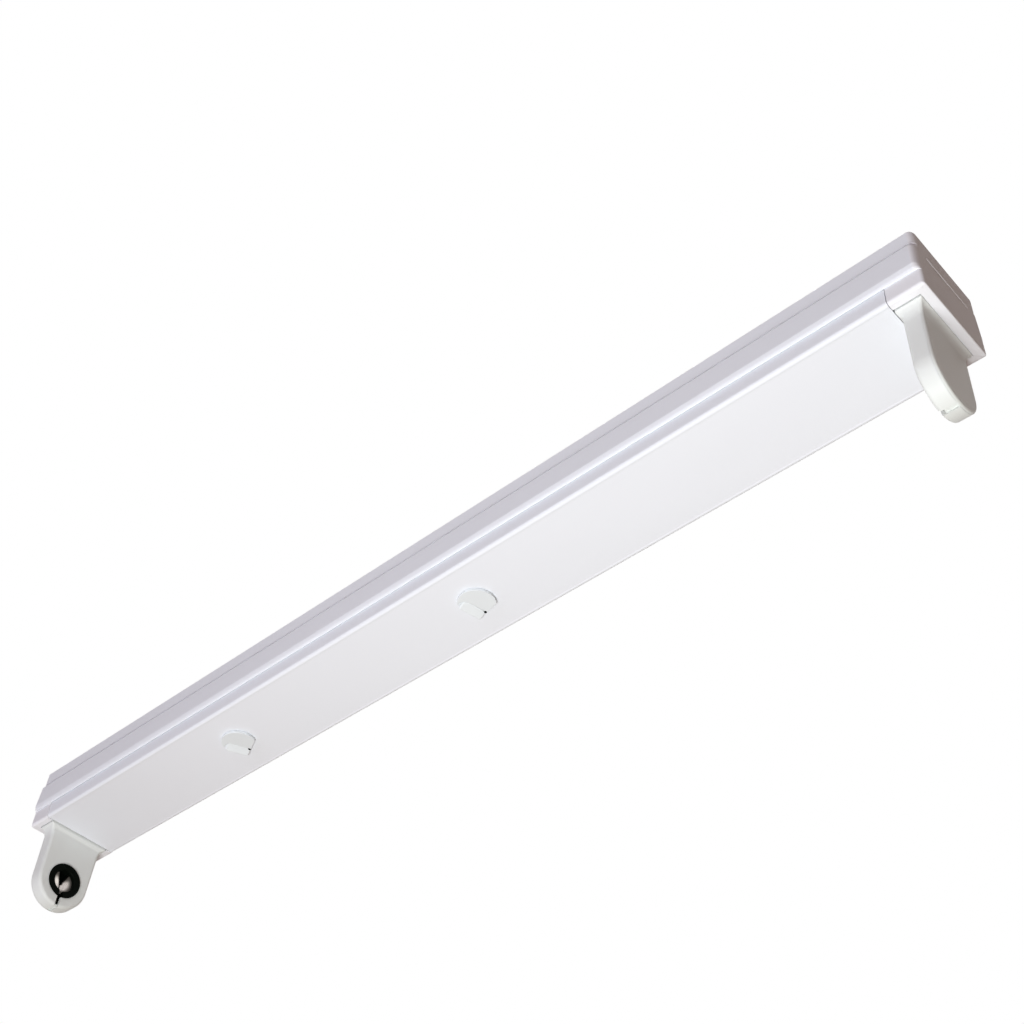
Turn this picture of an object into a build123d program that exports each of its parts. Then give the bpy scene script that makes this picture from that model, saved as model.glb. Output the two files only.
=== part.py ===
"""Single tube light fixture with two turning lampholders, a drop cover and its wiring."""

import os

from build123d import *

os.makedirs("parts", exist_ok=True)

# All sizes are millimetres; the ceiling face is Z = 0 and the fixture hangs below it

# Lamp and overall length
lamp_length = 589.8
lamp_play = 2.2
lamp_z = -70.2
holder_depth = 12.6
end_gap = 4.4
face_x = (lamp_length + lamp_play) / 2
holder_back_x = face_x + holder_depth
half_length = holder_back_x + end_gap

# Base channel section, outside half widths and heights
sheet = 0.8
upper_half = 25.6
step_half = 26.2
skirt_half = 26.5
bead_half = 26.9
hem_half = 25.9
step_top_z = -11.0
step_low_z = -13.2
bead_top_z = -22.8
bead_mid_z = -25.4
bead_low_z = -27.4
hem_z = -28.2
bend = 0.5

# Cover tray
cover_sheet = 0.6
cover_half = 24.8
cover_z = -38.0
cover_lap_z = -21.0
cover_bend = 2.1
cover_gap = 0.6
cover_x = face_x - cover_gap

# End caps
cap_wall = 1.6
cap_seam_x = half_length - 2.8
cap_inner_x = half_length - cap_wall
cap_notch_z = -29.0
cap_lip_z = -38.4
cap_lip_x = cover_x + 0.3
cap_round = 2.0
rib_half = 16.5
rib_z = -12.6
rib_rise = 0.4
rib_width = 1.3

# Lampholders
post_half = 17.2
foot_half = 20.0
foot_low_z = -39.0
flare_low_z = -47.5
holder_wall = 1.6
holder_front = 2.0
flange_half = 21.6
flange_low_z = cap_lip_z + cap_wall
flange_top_z = flange_low_z + 2.2
foot_play = 0.2
tongue_half = 12.0
tongue_depth = 4.0
tongue_top_z = -18.0
back_thick = 1.6
back_lap = 0.4
back_play = 0.1
back_top_z = -40.0
pin_slot = 3.0
pin_depth = 9.4

# Rotors
rotor_r = 9.9
rotor_play = 0.3
rotor_sink = 0.2
ring_bore = 6.8
ring_thick = 2.0
seat_bore = 8.5
cup_bore = 7.8
seat_depth = 3.6
cup_depth = 7.2
rotor_depth = 8.4
collar_r = 11.2
collar_thick = 1.2
pivot_r = 3.0

# Contacts and terminals
contact_t = 0.6
contact_r = 8.4
contact_edge = 1.9
leaf_half = 6.0
strip_in = 13.0
strip_t = 0.8
strip_width = 4.4
strip_low_z = -66.0
strip_top_z = -24.0
strip_x = face_x + 3.6
rib_levels = (-50.0, -60.0)
rib_height = 4.0

# Holder brackets and screws
bracket_t = 1.0
bracket_neck = 9.0
bracket_half = 15.0
bracket_foot = 18.6
bracket_step_z = -16.0
bracket_low_z = -34.0
hook_t = 2.0
hook_play = 0.4
hook_bite = 2.2
hook_length = 2.0
hook_top_z = -20.0
hook_low_z = -28.0
m3_r = 1.4
m3_hole = 1.6
m3_head = 2.75
m3_head_h = 2.0
holder_screw_y = 9.5
holder_screw_z = -26.0
holder_screw_len = 6.2

# Knobs and their spring latches
knob_xs = (-143.5, 41.5)
knob_angles = (-26.0, -12.0)
knob_r = 10.0
knob_disc = 1.7
knob_gap = 0.15
knob_flat = 7.6
ledge_edge = 8.0
ledge_width = 5.2
ledge_length = 13.6
ledge_corner = 1.4
ledge_rise = 1.6
stud_r = 3.0
stud_play = 0.3
stud_top_z = -30.5
neck_r = 2.4
clip_t = 0.65
clip_r = 5.0
clip_mouth = 3.6
latch_plate_z = -35.1
latch_half = 13.5
latch_width = 20.0
latch_foot = 10.0
latch_bend = 1.2
latch_hole = 4.2
wire_spring_r = 0.6
spring_reach = 11.2
spring_hook = 1.3
stud_slot = 2.0
stud_slot_floor = 0.5

# Ceiling slots, cable entry, terminal block and earth
slot_x = 200.0
slot_width = 5.0
slot_length = 12.0
entry_x = -104.0
entry_hole = 10.0
grommet_r = 9.9
grommet_bore = 6.5
grommet_flange = 12.5
grommet_thick = 2.4
block_x = -60.0
block_length = 36.0
block_width = 17.0
block_height = 15.0
block_ear = 6.0
block_ear_t = 2.5
pole_pitch = 11.0
pole_cell = 6.4
clamp_width = 6.0
clamp_length = 12.0
clamp_bore = 1.6
clamp_screw_y = 4.0
clamp_screw_r = 1.2
clamp_hole = 1.4
clamp_head = 2.0
clamp_head_h = 2.0
wire_r = 1.1
wire_z = -8.5
wire_bend = 5.0
wire_y = 15.0
earth_x = -15.0
earth_y = 12.0
m4_r = 2.0
m4_hole = 2.2
m4_head = 3.6
m4_head_h = 2.4
tag_t = 0.8
tag_r = 4.2
tag_barrel = 2.0
tag_bore = 1.2
sleeve_t = 2.6
sleeve_length = 7.0
end_clip = 34.0
clip_xs_live = (95.0, 180.0, face_x - end_clip)
clip_xs_neutral = (-192.0, end_clip - face_x)
saddle_size = 7.0

# Levels that follow from the sizes above
under_top_z = -sheet
cover_inner_z = cover_z + cover_sheet
knob_top_z = cover_z - knob_gap
knob_low_z = knob_top_z - knob_disc
clip_low_z = cover_inner_z + knob_gap
clip_top_z = clip_low_z + clip_t
latch_top_z = latch_plate_z + bracket_t / 2
spring_z = latch_top_z + wire_spring_r
block_low_z = under_top_z - block_height
cell_top_z = wire_z + clamp_width / 2
cell_low_z = cell_top_z - pole_cell
head_seat_z = block_low_z + clamp_head_h + 0.4
ear_low_z = under_top_z - block_ear_t
ear_x = (block_length + block_ear) / 2
plate_tip_z = -0.1
bracket_x = holder_back_x
bracket_foot_x = bracket_x - bracket_foot
pole_xs = (block_x - pole_pitch, block_x, block_x + pole_pitch)

# Shared frames: a lampholder face looking along +X, and the ceiling plane
socket = Plane(origin=(face_x, 0, lamp_z), x_dir=(0, 1, 0), z_dir=(1, 0, 0))
ceiling = Plane.XY


def along_x(x):
    """Sketch plane across the fixture at x, with Y to the right and Z up."""
    return Plane(origin=(x, 0, 0), x_dir=(0, 1, 0), z_dir=(1, 0, 0))


def between(x0, x1, y0, y1, z0, z1, mode=Mode.ADD):
    """Add or cut a box given by its limits on each axis."""
    with Locations(((x0 + x1) / 2, (y0 + y1) / 2, (z0 + z1) / 2)):
        Box(abs(x1 - x0), abs(y1 - y0), abs(z1 - z0), mode=mode)


def upright(x, y, z0, z1, r, mode=Mode.ADD):
    """Add or cut a vertical cylinder between two heights."""
    with Locations((x, y, (z0 + z1) / 2)):
        Cylinder(r, abs(z1 - z0), mode=mode)


def barrel(plane, start, end, r, mode=Mode.ADD):
    """Add or cut a cylinder along the normal of a plane."""
    with Locations(plane.offset((start + end) / 2)):
        Cylinder(r, end - start, mode=mode)


def save(name, solid):
    """Label one node and write it."""
    solid.label = name
    export_step(solid, f"parts/{name}.step")


def mirrored_outline(right):
    """Close a right-hand outline with its mirror image."""
    return list(right) + [(-y, z) for y, z in reversed(right)]


# Base channel: folded steel with a stepped side, a rolled bead and a turned-in hem
skin = sheet / 2
base_right = [
    (hem_half - skin, hem_z),
    (bead_half - 0.2 - skin, bead_low_z),
    (bead_half - skin, bead_mid_z),
    (skirt_half - skin, bead_top_z),
    (step_half - skin, step_low_z),
    (upper_half - skin, step_top_z),
    (upper_half - skin, -skin),
]
with BuildPart() as base_channel:
    with BuildSketch(along_x(-cap_seam_x)):
        with BuildLine():
            FilletPolyline(*mirrored_outline(base_right), radius=bend)
        trace(line_width=sheet)
    extrude(amount=2 * cap_seam_x)
    with BuildSketch(ceiling):
        with Locations((-slot_x, 0), (slot_x, 0)):
            SlotOverall(slot_length, slot_width)
        with Locations((entry_x, 0)):
            Circle(entry_hole)
        with Locations((block_x - ear_x, 0), (block_x + ear_x, 0)):
            Circle(m3_hole)
        with Locations((earth_x, earth_y)):
            Circle(m4_hole)
    extrude(amount=-sheet, mode=Mode.SUBTRACT)
save("base_channel", base_channel.part)

# Right end cap: profile wall, rounded lip around the lampholder foot and two snap hooks
cap_right = [
    (upper_half, 0),
    (upper_half, step_top_z),
    (step_half, step_low_z),
    (skirt_half, bead_top_z),
    (bead_half, bead_mid_z),
    (bead_half - 0.2, bead_low_z),
    (cover_half, cap_notch_z),
    (cover_half, cap_lip_z),
]
cap_core = [(y - cap_wall, min(z, -cap_wall)) for y, z in cap_right[:-1]]
cap_core.append((cover_half - cap_wall, flange_low_z))
hook_y = bracket_half + hook_play
with BuildPart() as end_cap:
    with BuildSketch(along_x(cap_seam_x)):
        Polygon(*mirrored_outline(cap_right), align=None)
    extrude(amount=half_length - cap_seam_x)
    chamfer(end_cap.faces().sort_by(Axis.X)[-1].edges().filter_by(Axis.Y, reverse=True), cap_round * 0.5)
    with BuildSketch(along_x(cap_seam_x)):
        Polygon(*mirrored_outline(cap_core), align=None)
    extrude(amount=cap_inner_x - cap_seam_x, mode=Mode.SUBTRACT)
    between(cap_lip_x, cap_seam_x, -cover_half, cover_half, cap_lip_z, cover_lap_z)
    fillet(end_cap.edges().filter_by(Axis.X).group_by(Axis.Z)[0], cap_round)
    inner_half = cover_half - cap_wall
    between(cap_lip_x, cap_inner_x, -inner_half, inner_half, flange_low_z, cover_lap_z, Mode.SUBTRACT)
    between(cap_lip_x, holder_back_x + foot_play, -foot_half - foot_play, foot_half + foot_play,
            cap_lip_z, flange_low_z, Mode.SUBTRACT)
    between(half_length, half_length + rib_rise, -rib_half, rib_half, rib_z - rib_width / 2, rib_z + rib_width / 2)
    for side in (-1, 1):
        between(bracket_x - hook_length, cap_inner_x, side * hook_y, side * (hook_y + hook_t), hook_low_z, hook_top_z)
        between(bracket_x - hook_length, bracket_x, side * (hook_y - hook_bite), side * hook_y, hook_low_z, hook_top_z)

# Right holder bracket: steel angle welded under the top plate
with BuildPart() as holder_bracket:
    between(bracket_foot_x, bracket_x + bracket_t, -bracket_neck, bracket_neck, under_top_z - bracket_t, under_top_z)
    between(bracket_x, bracket_x + bracket_t, -bracket_neck, bracket_neck, bracket_step_z, under_top_z - bracket_t)
    between(bracket_x, bracket_x + bracket_t, -bracket_half, bracket_half, bracket_low_z, bracket_step_z)
    with BuildSketch(along_x(bracket_x)):
        with Locations((-holder_screw_y, holder_screw_z), (holder_screw_y, holder_screw_z)):
            Circle(m3_hole)
    extrude(amount=bracket_t, mode=Mode.SUBTRACT)

# Right lampholder housing: flared foot, round socket opening and pin slot through the bottom
cavity_half = post_half - holder_wall
cavity_x = face_x + holder_front
rebate_x = holder_back_x - back_thick
tongue_x = holder_back_x - tongue_depth
with BuildPart() as holder_housing:
    with BuildSketch(along_x(face_x)):
        with BuildLine():
            Polyline((-post_half, flare_low_z), (-post_half, lamp_z))
            ThreePointArc((-post_half, lamp_z), (0, lamp_z - post_half), (post_half, lamp_z))
            Line((post_half, lamp_z), (post_half, flare_low_z))
            TangentArc((post_half, flare_low_z), (foot_half, foot_low_z), tangent=(0, 1))
            Polyline((foot_half, foot_low_z), (foot_half, flange_low_z), (-foot_half, flange_low_z),
                     (-foot_half, foot_low_z))
            TangentArc((-post_half, flare_low_z), (-foot_half, foot_low_z), tangent=(0, 1))
        make_face()
    extrude(amount=holder_depth)
    between(cavity_x - 0.5, cap_inner_x - 0.4, -flange_half, flange_half, flange_low_z, flange_top_z)
    between(tongue_x, holder_back_x, -tongue_half, tongue_half, flange_top_z, tongue_top_z)
    with BuildSketch(along_x(cavity_x)):
        with Locations((0, lamp_z)):
            Circle(cavity_half)
        with Locations((0, (lamp_z + back_top_z) / 2)):
            Rectangle(2 * cavity_half, back_top_z - lamp_z)
    extrude(amount=rebate_x - cavity_x, mode=Mode.SUBTRACT)
    between(cavity_x, tongue_x, -cavity_half, cavity_half, back_top_z, flange_top_z, Mode.SUBTRACT)
    rebate_half = cavity_half + back_lap + back_play
    with BuildSketch(along_x(rebate_x)):
        with Locations((0, lamp_z)):
            Circle(rebate_half)
        with Locations((0, (lamp_z + back_top_z + back_play) / 2)):
            Rectangle(2 * rebate_half, back_top_z + back_play - lamp_z)
    extrude(amount=back_thick, mode=Mode.SUBTRACT)
    barrel(socket, 0, holder_front, rotor_r + rotor_play, Mode.SUBTRACT)
    between(face_x, face_x + pin_depth, -pin_slot / 2, pin_slot / 2, lamp_z - post_half - 1, lamp_z, Mode.SUBTRACT)
    with BuildSketch(along_x(tongue_x)):
        with Locations((-holder_screw_y, holder_screw_z), (holder_screw_y, holder_screw_z)):
            Circle(m3_hole)
    extrude(amount=tongue_depth, mode=Mode.SUBTRACT)
    for side in (-1, 1):
        for level in rib_levels:
            between(cavity_x, strip_x + strip_width, side * (strip_in + strip_t), side * (cavity_half + 0.2),
                    level - rib_height / 2, level + rib_height / 2)

# Right lampholder back: plate in the rebate with a pivot behind the rotor
back_half = cavity_half + back_lap
with BuildPart() as holder_back:
    with BuildSketch(along_x(rebate_x)):
        with Locations((0, lamp_z)):
            Circle(back_half)
        with Locations((0, (lamp_z + back_top_z) / 2)):
            Rectangle(2 * back_half, back_top_z - lamp_z)
    extrude(amount=back_thick)
    barrel(socket, rotor_depth + rotor_sink, rebate_x - face_x, pivot_r)

# Right rotor: slotted cup with a front ring and a retaining collar
collar_start = holder_front + rotor_sink
with BuildPart() as rotor:
    barrel(socket, rotor_sink, rotor_depth, rotor_r)
    barrel(socket, collar_start, collar_start + collar_thick, collar_r)
    barrel(socket, rotor_sink, cup_depth, ring_bore, Mode.SUBTRACT)
    barrel(socket, rotor_sink + ring_thick, seat_depth, seat_bore, Mode.SUBTRACT)
    barrel(socket, seat_depth, cup_depth, cup_bore, Mode.SUBTRACT)
    between(face_x, face_x + cup_depth, -pin_slot / 2, pin_slot / 2, lamp_z - collar_r - 1, lamp_z + collar_r + 1,
            Mode.SUBTRACT)

# Right rotor contacts: two half-moon plates with a leaf along the pin slot
with BuildPart() as rotor_contacts:
    barrel(socket, seat_depth - contact_t, seat_depth, contact_r)
    between(face_x, face_x + seat_depth, -contact_edge, contact_edge, lamp_z - contact_r - 1, lamp_z + contact_r + 1,
            Mode.SUBTRACT)
    for side in (-1, 1):
        between(face_x + seat_depth, face_x + cup_depth, side * contact_edge, side * (contact_edge + contact_t),
                lamp_z - leaf_half, lamp_z + leaf_half)

# Right holder terminals: two strips that stand up through the foot as tabs
with BuildPart() as holder_terminals:
    for side in (-1, 1):
        between(strip_x, strip_x + strip_width, side * strip_in, side * (strip_in + strip_t), strip_low_z, strip_top_z)

# Right holder screws through the tongue and the bracket
with BuildPart() as holder_screws:
    for side in (-1, 1):
        spot = Plane(origin=(tongue_x, side * holder_screw_y, holder_screw_z), x_dir=(0, 1, 0), z_dir=(1, 0, 0))
        barrel(spot, -m3_head_h, 0, m3_head)
        barrel(spot, 0, holder_screw_len, m3_r)

# Both ends: the right pieces as built and the left ones mirrored
end_pieces = {
    "end_cap": end_cap.part,
    "holder_bracket": holder_bracket.part,
    "holder_housing": holder_housing.part,
    "holder_back": holder_back.part,
    "rotor": rotor.part,
    "rotor_contacts": rotor_contacts.part,
    "holder_terminals": holder_terminals.part,
    "holder_screws": holder_screws.part,
}
for piece_name, piece in end_pieces.items():
    with BuildPart() as twin:
        mirror(piece, about=Plane.YZ)
    save(f"{piece_name}_right", piece)
    save(f"{piece_name}_left", twin.part)

# Cover tray: shallow steel channel that laps inside the base
cover_edge = cover_half - cover_sheet / 2
cover_mid_z = cover_z + cover_sheet / 2
with BuildPart() as cover_tray:
    with BuildSketch(along_x(-cover_x)):
        with BuildLine():
            FilletPolyline((-cover_edge, cover_lap_z), (-cover_edge, cover_mid_z), (cover_edge, cover_mid_z),
                           (cover_edge, cover_lap_z), radius=cover_bend)
        trace(line_width=cover_sheet)
    extrude(amount=2 * cover_x)
    for knob_x in knob_xs:
        upright(knob_x, 0, cover_z - 1, cover_inner_z + 1, stud_r + stud_play, Mode.SUBTRACT)
save("cover_tray", cover_tray.part)

# Cover knobs, their clips, and the brackets and wire springs that catch the studs
for number, (knob_x, knob_angle) in enumerate(zip(knob_xs, knob_angles), start=1):
    with BuildPart() as cover_knob:
        upright(knob_x, 0, knob_low_z, knob_top_z, knob_r)
        turned = Location((knob_x, 0, knob_top_z), (0, 0, knob_angle))
        with Locations(turned):
            with Locations((0, knob_flat + knob_r, 0), (-ledge_edge - knob_r, 0, 0)):
                Box(2 * knob_r, 2 * knob_r, 4 * knob_disc, mode=Mode.SUBTRACT)
        with BuildSketch(Plane.XY.offset(knob_low_z)):
            with Locations(Location((knob_x, 0, 0), (0, 0, knob_angle))):
                with Locations((-ledge_edge + ledge_width / 2, knob_flat - ledge_length / 2)):
                    RectangleRounded(ledge_width, ledge_length, ledge_corner)
        extrude(amount=-ledge_rise)
        upright(knob_x, 0, knob_top_z, clip_low_z, stud_r)
        upright(knob_x, 0, clip_low_z, clip_top_z, neck_r)
        upright(knob_x, 0, clip_top_z, stud_top_z, stud_r)
        between(knob_x - stud_slot / 2, knob_x + stud_slot / 2, -stud_r - 1, stud_r + 1,
                spring_z - wire_spring_r - stud_slot_floor, stud_top_z, Mode.SUBTRACT)
    save(f"cover_knob_{number}", cover_knob.part)

    with BuildPart() as knob_clip:
        upright(knob_x, 0, clip_low_z, clip_top_z, clip_r)
        upright(knob_x, 0, clip_low_z, clip_top_z, neck_r + 0.05, Mode.SUBTRACT)
        between(knob_x, knob_x + clip_r + 1, -clip_mouth / 2, clip_mouth / 2, clip_low_z, clip_top_z, Mode.SUBTRACT)
    save(f"knob_clip_{number}", knob_clip.part)

    with BuildPart() as latch_bracket:
        foot_z = under_top_z - bracket_t / 2
        with BuildSketch(Plane.XZ.offset(-latch_width / 2)):
            with BuildLine():
                FilletPolyline((knob_x - latch_half - latch_foot, foot_z), (knob_x - latch_half, foot_z),
                               (knob_x - latch_half, latch_plate_z), (knob_x + latch_half, latch_plate_z),
                               (knob_x + latch_half, foot_z), (knob_x + latch_half + latch_foot, foot_z),
                               radius=latch_bend)
            trace(line_width=bracket_t)
        extrude(amount=latch_width)
        upright(knob_x, 0, latch_plate_z - 1, latch_plate_z + 1, latch_hole, Mode.SUBTRACT)
    save(f"latch_bracket_{number}", latch_bracket.part)

    with BuildPart() as latch_spring:
        with BuildLine() as spring_path:
            FilletPolyline((knob_x, -spring_reach, spring_z - spring_hook), (knob_x, -spring_reach, spring_z),
                           (knob_x, spring_reach, spring_z), (knob_x, spring_reach, spring_z - spring_hook),
                           radius=wire_spring_r + 0.4)
        with BuildSketch(Plane(origin=spring_path.line @ 0, z_dir=spring_path.line % 0)):
            Circle(wire_spring_r)
        sweep()
    save(f"latch_spring_{number}", latch_spring.part)

# Cable grommet in the top plate
with BuildPart() as cable_grommet:
    upright(entry_x, 0, under_top_z, 0, grommet_r)
    upright(entry_x, 0, under_top_z - grommet_thick, under_top_z, grommet_flange)
    upright(entry_x, 0, under_top_z - grommet_thick, 0, grommet_bore, Mode.SUBTRACT)
save("cable_grommet", cable_grommet.part)

# Terminal block with three poles
with BuildPart() as terminal_block:
    between(block_x - block_length / 2, block_x + block_length / 2, -block_width / 2, block_width / 2,
            block_low_z, under_top_z)
    between(block_x - ear_x - block_ear / 2, block_x + ear_x + block_ear / 2, -block_ear, block_ear,
            ear_low_z, under_top_z)
    for pole_x in pole_xs:
        between(pole_x - pole_cell / 2, pole_x + pole_cell / 2, -block_width, block_width, cell_low_z, cell_top_z,
                Mode.SUBTRACT)
        for side in (-1, 1):
            upright(pole_x, side * clamp_screw_y, block_low_z, head_seat_z, clamp_head + 0.3, Mode.SUBTRACT)
            upright(pole_x, side * clamp_screw_y, head_seat_z, cell_low_z, clamp_hole, Mode.SUBTRACT)
    for side in (-1, 1):
        upright(block_x + side * ear_x, 0, ear_low_z, under_top_z, m3_hole, Mode.SUBTRACT)
save("terminal_block", terminal_block.part)

# Brass clamps inside the poles
with BuildPart() as terminal_clamps:
    for pole_x in pole_xs:
        between(pole_x - clamp_width / 2, pole_x + clamp_width / 2, -clamp_length / 2, clamp_length / 2,
                cell_top_z - clamp_width, cell_top_z)
        with Locations(Location((pole_x, 0, wire_z), (90, 0, 0))):
            Cylinder(clamp_bore, clamp_length + 1, mode=Mode.SUBTRACT)
        for side in (-1, 1):
            upright(pole_x, side * clamp_screw_y, cell_top_z - clamp_width, wire_z, clamp_hole, Mode.SUBTRACT)
save("terminal_clamps", terminal_clamps.part)

# Clamp screws that press on the wires
with BuildPart() as terminal_screws:
    for pole_x in pole_xs:
        for side in (-1, 1):
            upright(pole_x, side * clamp_screw_y, head_seat_z - clamp_head_h, head_seat_z, clamp_head)
            upright(pole_x, side * clamp_screw_y, head_seat_z, wire_z - wire_r - 0.02, clamp_screw_r)
save("terminal_screws", terminal_screws.part)

# Screws that hold the block to the top plate
with BuildPart() as block_screws:
    for side in (-1, 1):
        upright(block_x + side * ear_x, 0, ear_low_z - m3_head_h, ear_low_z, m3_head)
        upright(block_x + side * ear_x, 0, ear_low_z, plate_tip_z, m3_r)
save("block_screws", block_screws.part)

# Earth tag, washer and screw
tag_low_z = under_top_z - tag_t
washer_low_z = tag_low_z - tag_t
tag_edge_x = earth_x - tag_r
with BuildPart() as earth_tag:
    upright(earth_x, earth_y, tag_low_z, under_top_z, tag_r)
    between(tag_edge_x - tag_t, earth_x, earth_y - tag_barrel, earth_y + tag_barrel, tag_low_z, under_top_z)
    between(tag_edge_x - tag_t, tag_edge_x, earth_y - tag_barrel, earth_y + tag_barrel, wire_z, under_top_z)
    tag_end = Plane(origin=(tag_edge_x - sleeve_length, earth_y, wire_z), x_dir=(0, 1, 0), z_dir=(1, 0, 0))
    barrel(tag_end, 0, sleeve_length, tag_barrel)
    barrel(tag_end, 0, sleeve_length - tag_t, tag_bore, Mode.SUBTRACT)
    upright(earth_x, earth_y, tag_low_z, under_top_z, m4_hole, Mode.SUBTRACT)
save("earth_tag", earth_tag.part)

with BuildPart() as earth_washer:
    upright(earth_x, earth_y, washer_low_z, tag_low_z, m4_head + 0.5)
    upright(earth_x, earth_y, washer_low_z, tag_low_z, m4_hole, Mode.SUBTRACT)
save("earth_washer", earth_washer.part)

with BuildPart() as earth_screw:
    upright(earth_x, earth_y, washer_low_z - m4_head_h, washer_low_z, m4_head)
    upright(earth_x, earth_y, washer_low_z, plate_tip_z, m4_r)
save("earth_screw", earth_screw.part)

# Live wire to the right lampholder and neutral wire to the left one, each with a push-on sleeve
tab_x = strip_x + strip_width / 2
tab_y = strip_in + strip_t
wire_runs = {
    "wire_live": (1, -1, pole_xs[2]),
    "wire_neutral": (-1, 1, pole_xs[0]),
}
for wire_name, (end_side, wire_side, pole_x) in wire_runs.items():
    with BuildPart() as wire:
        run_y = wire_side * wire_y
        run_x = end_side * tab_x
        with BuildLine() as wire_path:
            FilletPolyline((pole_x, wire_side * clamp_bore, wire_z), (pole_x, run_y, wire_z), (run_x, run_y, wire_z),
                           (run_x, run_y, strip_top_z), radius=wire_bend)
        with BuildSketch(Plane(origin=wire_path.line @ 0, z_dir=wire_path.line % 0)):
            Circle(wire_r)
        sweep()
        between(end_side * strip_x, end_side * (strip_x + strip_width), wire_side * tab_y,
                wire_side * (tab_y + sleeve_t), strip_top_z - sleeve_length, strip_top_z)
    save(wire_name, wire.part)

# Earth wire from the middle pole to the earth tag
with BuildPart() as wire_earth:
    with BuildLine() as earth_path:
        FilletPolyline((block_x, clamp_bore, wire_z), (block_x, earth_y, wire_z),
                       (tag_edge_x - tag_t - 0.4, earth_y, wire_z), radius=wire_bend * 0.6)
    with BuildSketch(Plane(origin=earth_path.line @ 0, z_dir=earth_path.line % 0)):
        Circle(wire_r)
    sweep()
save("wire_earth", wire_earth.part)

# Saddle clips that hold the long wires under the top plate
with BuildPart() as wire_clips:
    for clip_side, clip_xs in ((-1, clip_xs_live), (1, clip_xs_neutral)):
        for clip_x in clip_xs:
            clip_y = clip_side * wire_y
            between(clip_x - saddle_size / 2, clip_x + saddle_size / 2, clip_y - saddle_size / 2,
                    clip_y + saddle_size / 2, wire_z - wire_r - 1.2, under_top_z)
            bore = Plane(origin=(clip_x - saddle_size, clip_y, wire_z), x_dir=(0, 1, 0), z_dir=(1, 0, 0))
            barrel(bore, 0, 2 * saddle_size, wire_r + 0.1, Mode.SUBTRACT)
save("wire_clips", wire_clips.part)
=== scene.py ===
"""Looks of a single tube light fixture: painted steel batten, drop cover, turning lampholders and wiring."""

import logging
import math
from collections.abc import Sequence
from dataclasses import dataclass, field
from enum import Enum

import bmesh
import bpy
import numpy as np
from mathutils import Matrix, Vector
from mathutils.geometry import delaunay_2d_cdt


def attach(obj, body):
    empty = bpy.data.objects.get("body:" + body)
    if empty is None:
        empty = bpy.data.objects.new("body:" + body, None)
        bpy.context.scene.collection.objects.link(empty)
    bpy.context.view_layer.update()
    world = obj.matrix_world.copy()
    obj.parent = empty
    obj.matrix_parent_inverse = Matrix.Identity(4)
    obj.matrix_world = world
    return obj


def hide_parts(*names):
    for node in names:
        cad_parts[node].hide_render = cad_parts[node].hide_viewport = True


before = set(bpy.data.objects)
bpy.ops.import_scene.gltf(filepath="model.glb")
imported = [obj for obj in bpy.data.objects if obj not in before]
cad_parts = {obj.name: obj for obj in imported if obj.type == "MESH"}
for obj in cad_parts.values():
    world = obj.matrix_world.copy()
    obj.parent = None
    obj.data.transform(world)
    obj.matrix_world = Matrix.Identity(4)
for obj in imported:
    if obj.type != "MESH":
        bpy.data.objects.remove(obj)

Pair = tuple[float, float]
Triple = tuple[float, float, float]

LOG = logging.getLogger("fixture")
MM = 0.001
GUARD = 0.01  # millimetres from the end of an arc to the point that keeps the run beside it flat
SHARP = 38.0  # degrees from which an edge stays sharp
WELD = 2e-7  # metres within which two points become one
MIDDLE: Pair = (0.3, 0.7)  # the part of a noise's range over which a colour changes
EVEN: Triple = (1.0, 1.0, 1.0)
WHITE: Triple = (1.0, 1.0, 1.0)
KNOBS: tuple[Pair, Pair] = ((-143.5, -26.0), (41.5, -12.0))  # place along the cover and angle at rest
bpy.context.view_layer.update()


class End(Enum):
    """The two ends of the fixture, by the sign of X."""

    LEFT = -1
    RIGHT = 1


class Look(Enum):
    """The finishes, by the record's material slots."""

    PAINT = "white_paint"
    HOLDER = "white_plastic"
    CAP = "cap_plastic"
    BLACK = "black_plastic"
    CONTACT = "contact_metal"
    ZINC = "zinc_steel"
    SPRING = "spring_steel"
    BLOCK = "block_plastic"
    RUBBER = "grommet_rubber"
    LIVE = "brown_cable"
    NEUTRAL = "blue_cable"
    EARTH = "green_cable"


class Sock:
    """A shader socket that takes part in Python arithmetic.

    Args:
        recipe: the material that owns the socket.
        socket: the output socket itself.
    """

    def __init__(self, recipe: "Recipe", socket: bpy.types.NodeSocket) -> None:
        """Keep the socket with its material."""
        self.recipe = recipe
        self.socket = socket

    def _math(self, operation: str, first: "Sock | float", second: "Sock | float") -> "Sock":
        """Add one Math node on two values and return its result."""
        return self.recipe.node("ShaderNodeMath", {"operation": operation}, {0: first, 1: second})

    def __add__(self, other: "Sock | float") -> "Sock":
        """Sum."""
        return self._math("ADD", self, other)

    __radd__ = __add__

    def __sub__(self, other: "Sock | float") -> "Sock":
        """Difference."""
        return self._math("SUBTRACT", self, other)

    def __rsub__(self, other: float) -> "Sock":
        """Difference from a number."""
        return self._math("SUBTRACT", other, self)

    def __mul__(self, other: "Sock | float") -> "Sock":
        """Product."""
        return self._math("MULTIPLY", self, other)

    __rmul__ = __mul__

    def __abs__(self) -> "Sock":
        """Size without sign."""
        return self._math("ABSOLUTE", self, 0.0)

    def root(self) -> "Sock":
        """Square root."""
        return self._math("SQRT", self, 0.0)

    def rise(self, low: float, high: float) -> "Sock":
        """Smooth step from 0 at low to 1 at high."""
        return self.recipe.node(
            "ShaderNodeMapRange", {"interpolation_type": "SMOOTHSTEP"}, {0: self, 1: low, 2: high, 3: 0.0, 4: 1.0})

    def tint(self, low: Triple, high: Triple) -> "Sock":
        """Colour that goes from low to high as this value goes from 0 to 1."""
        return self.recipe.node(
            "ShaderNodeMix", {"data_type": "RGBA"}, {0: self, 6: (*low, 1.0), 7: (*high, 1.0)}, 2)


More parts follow.
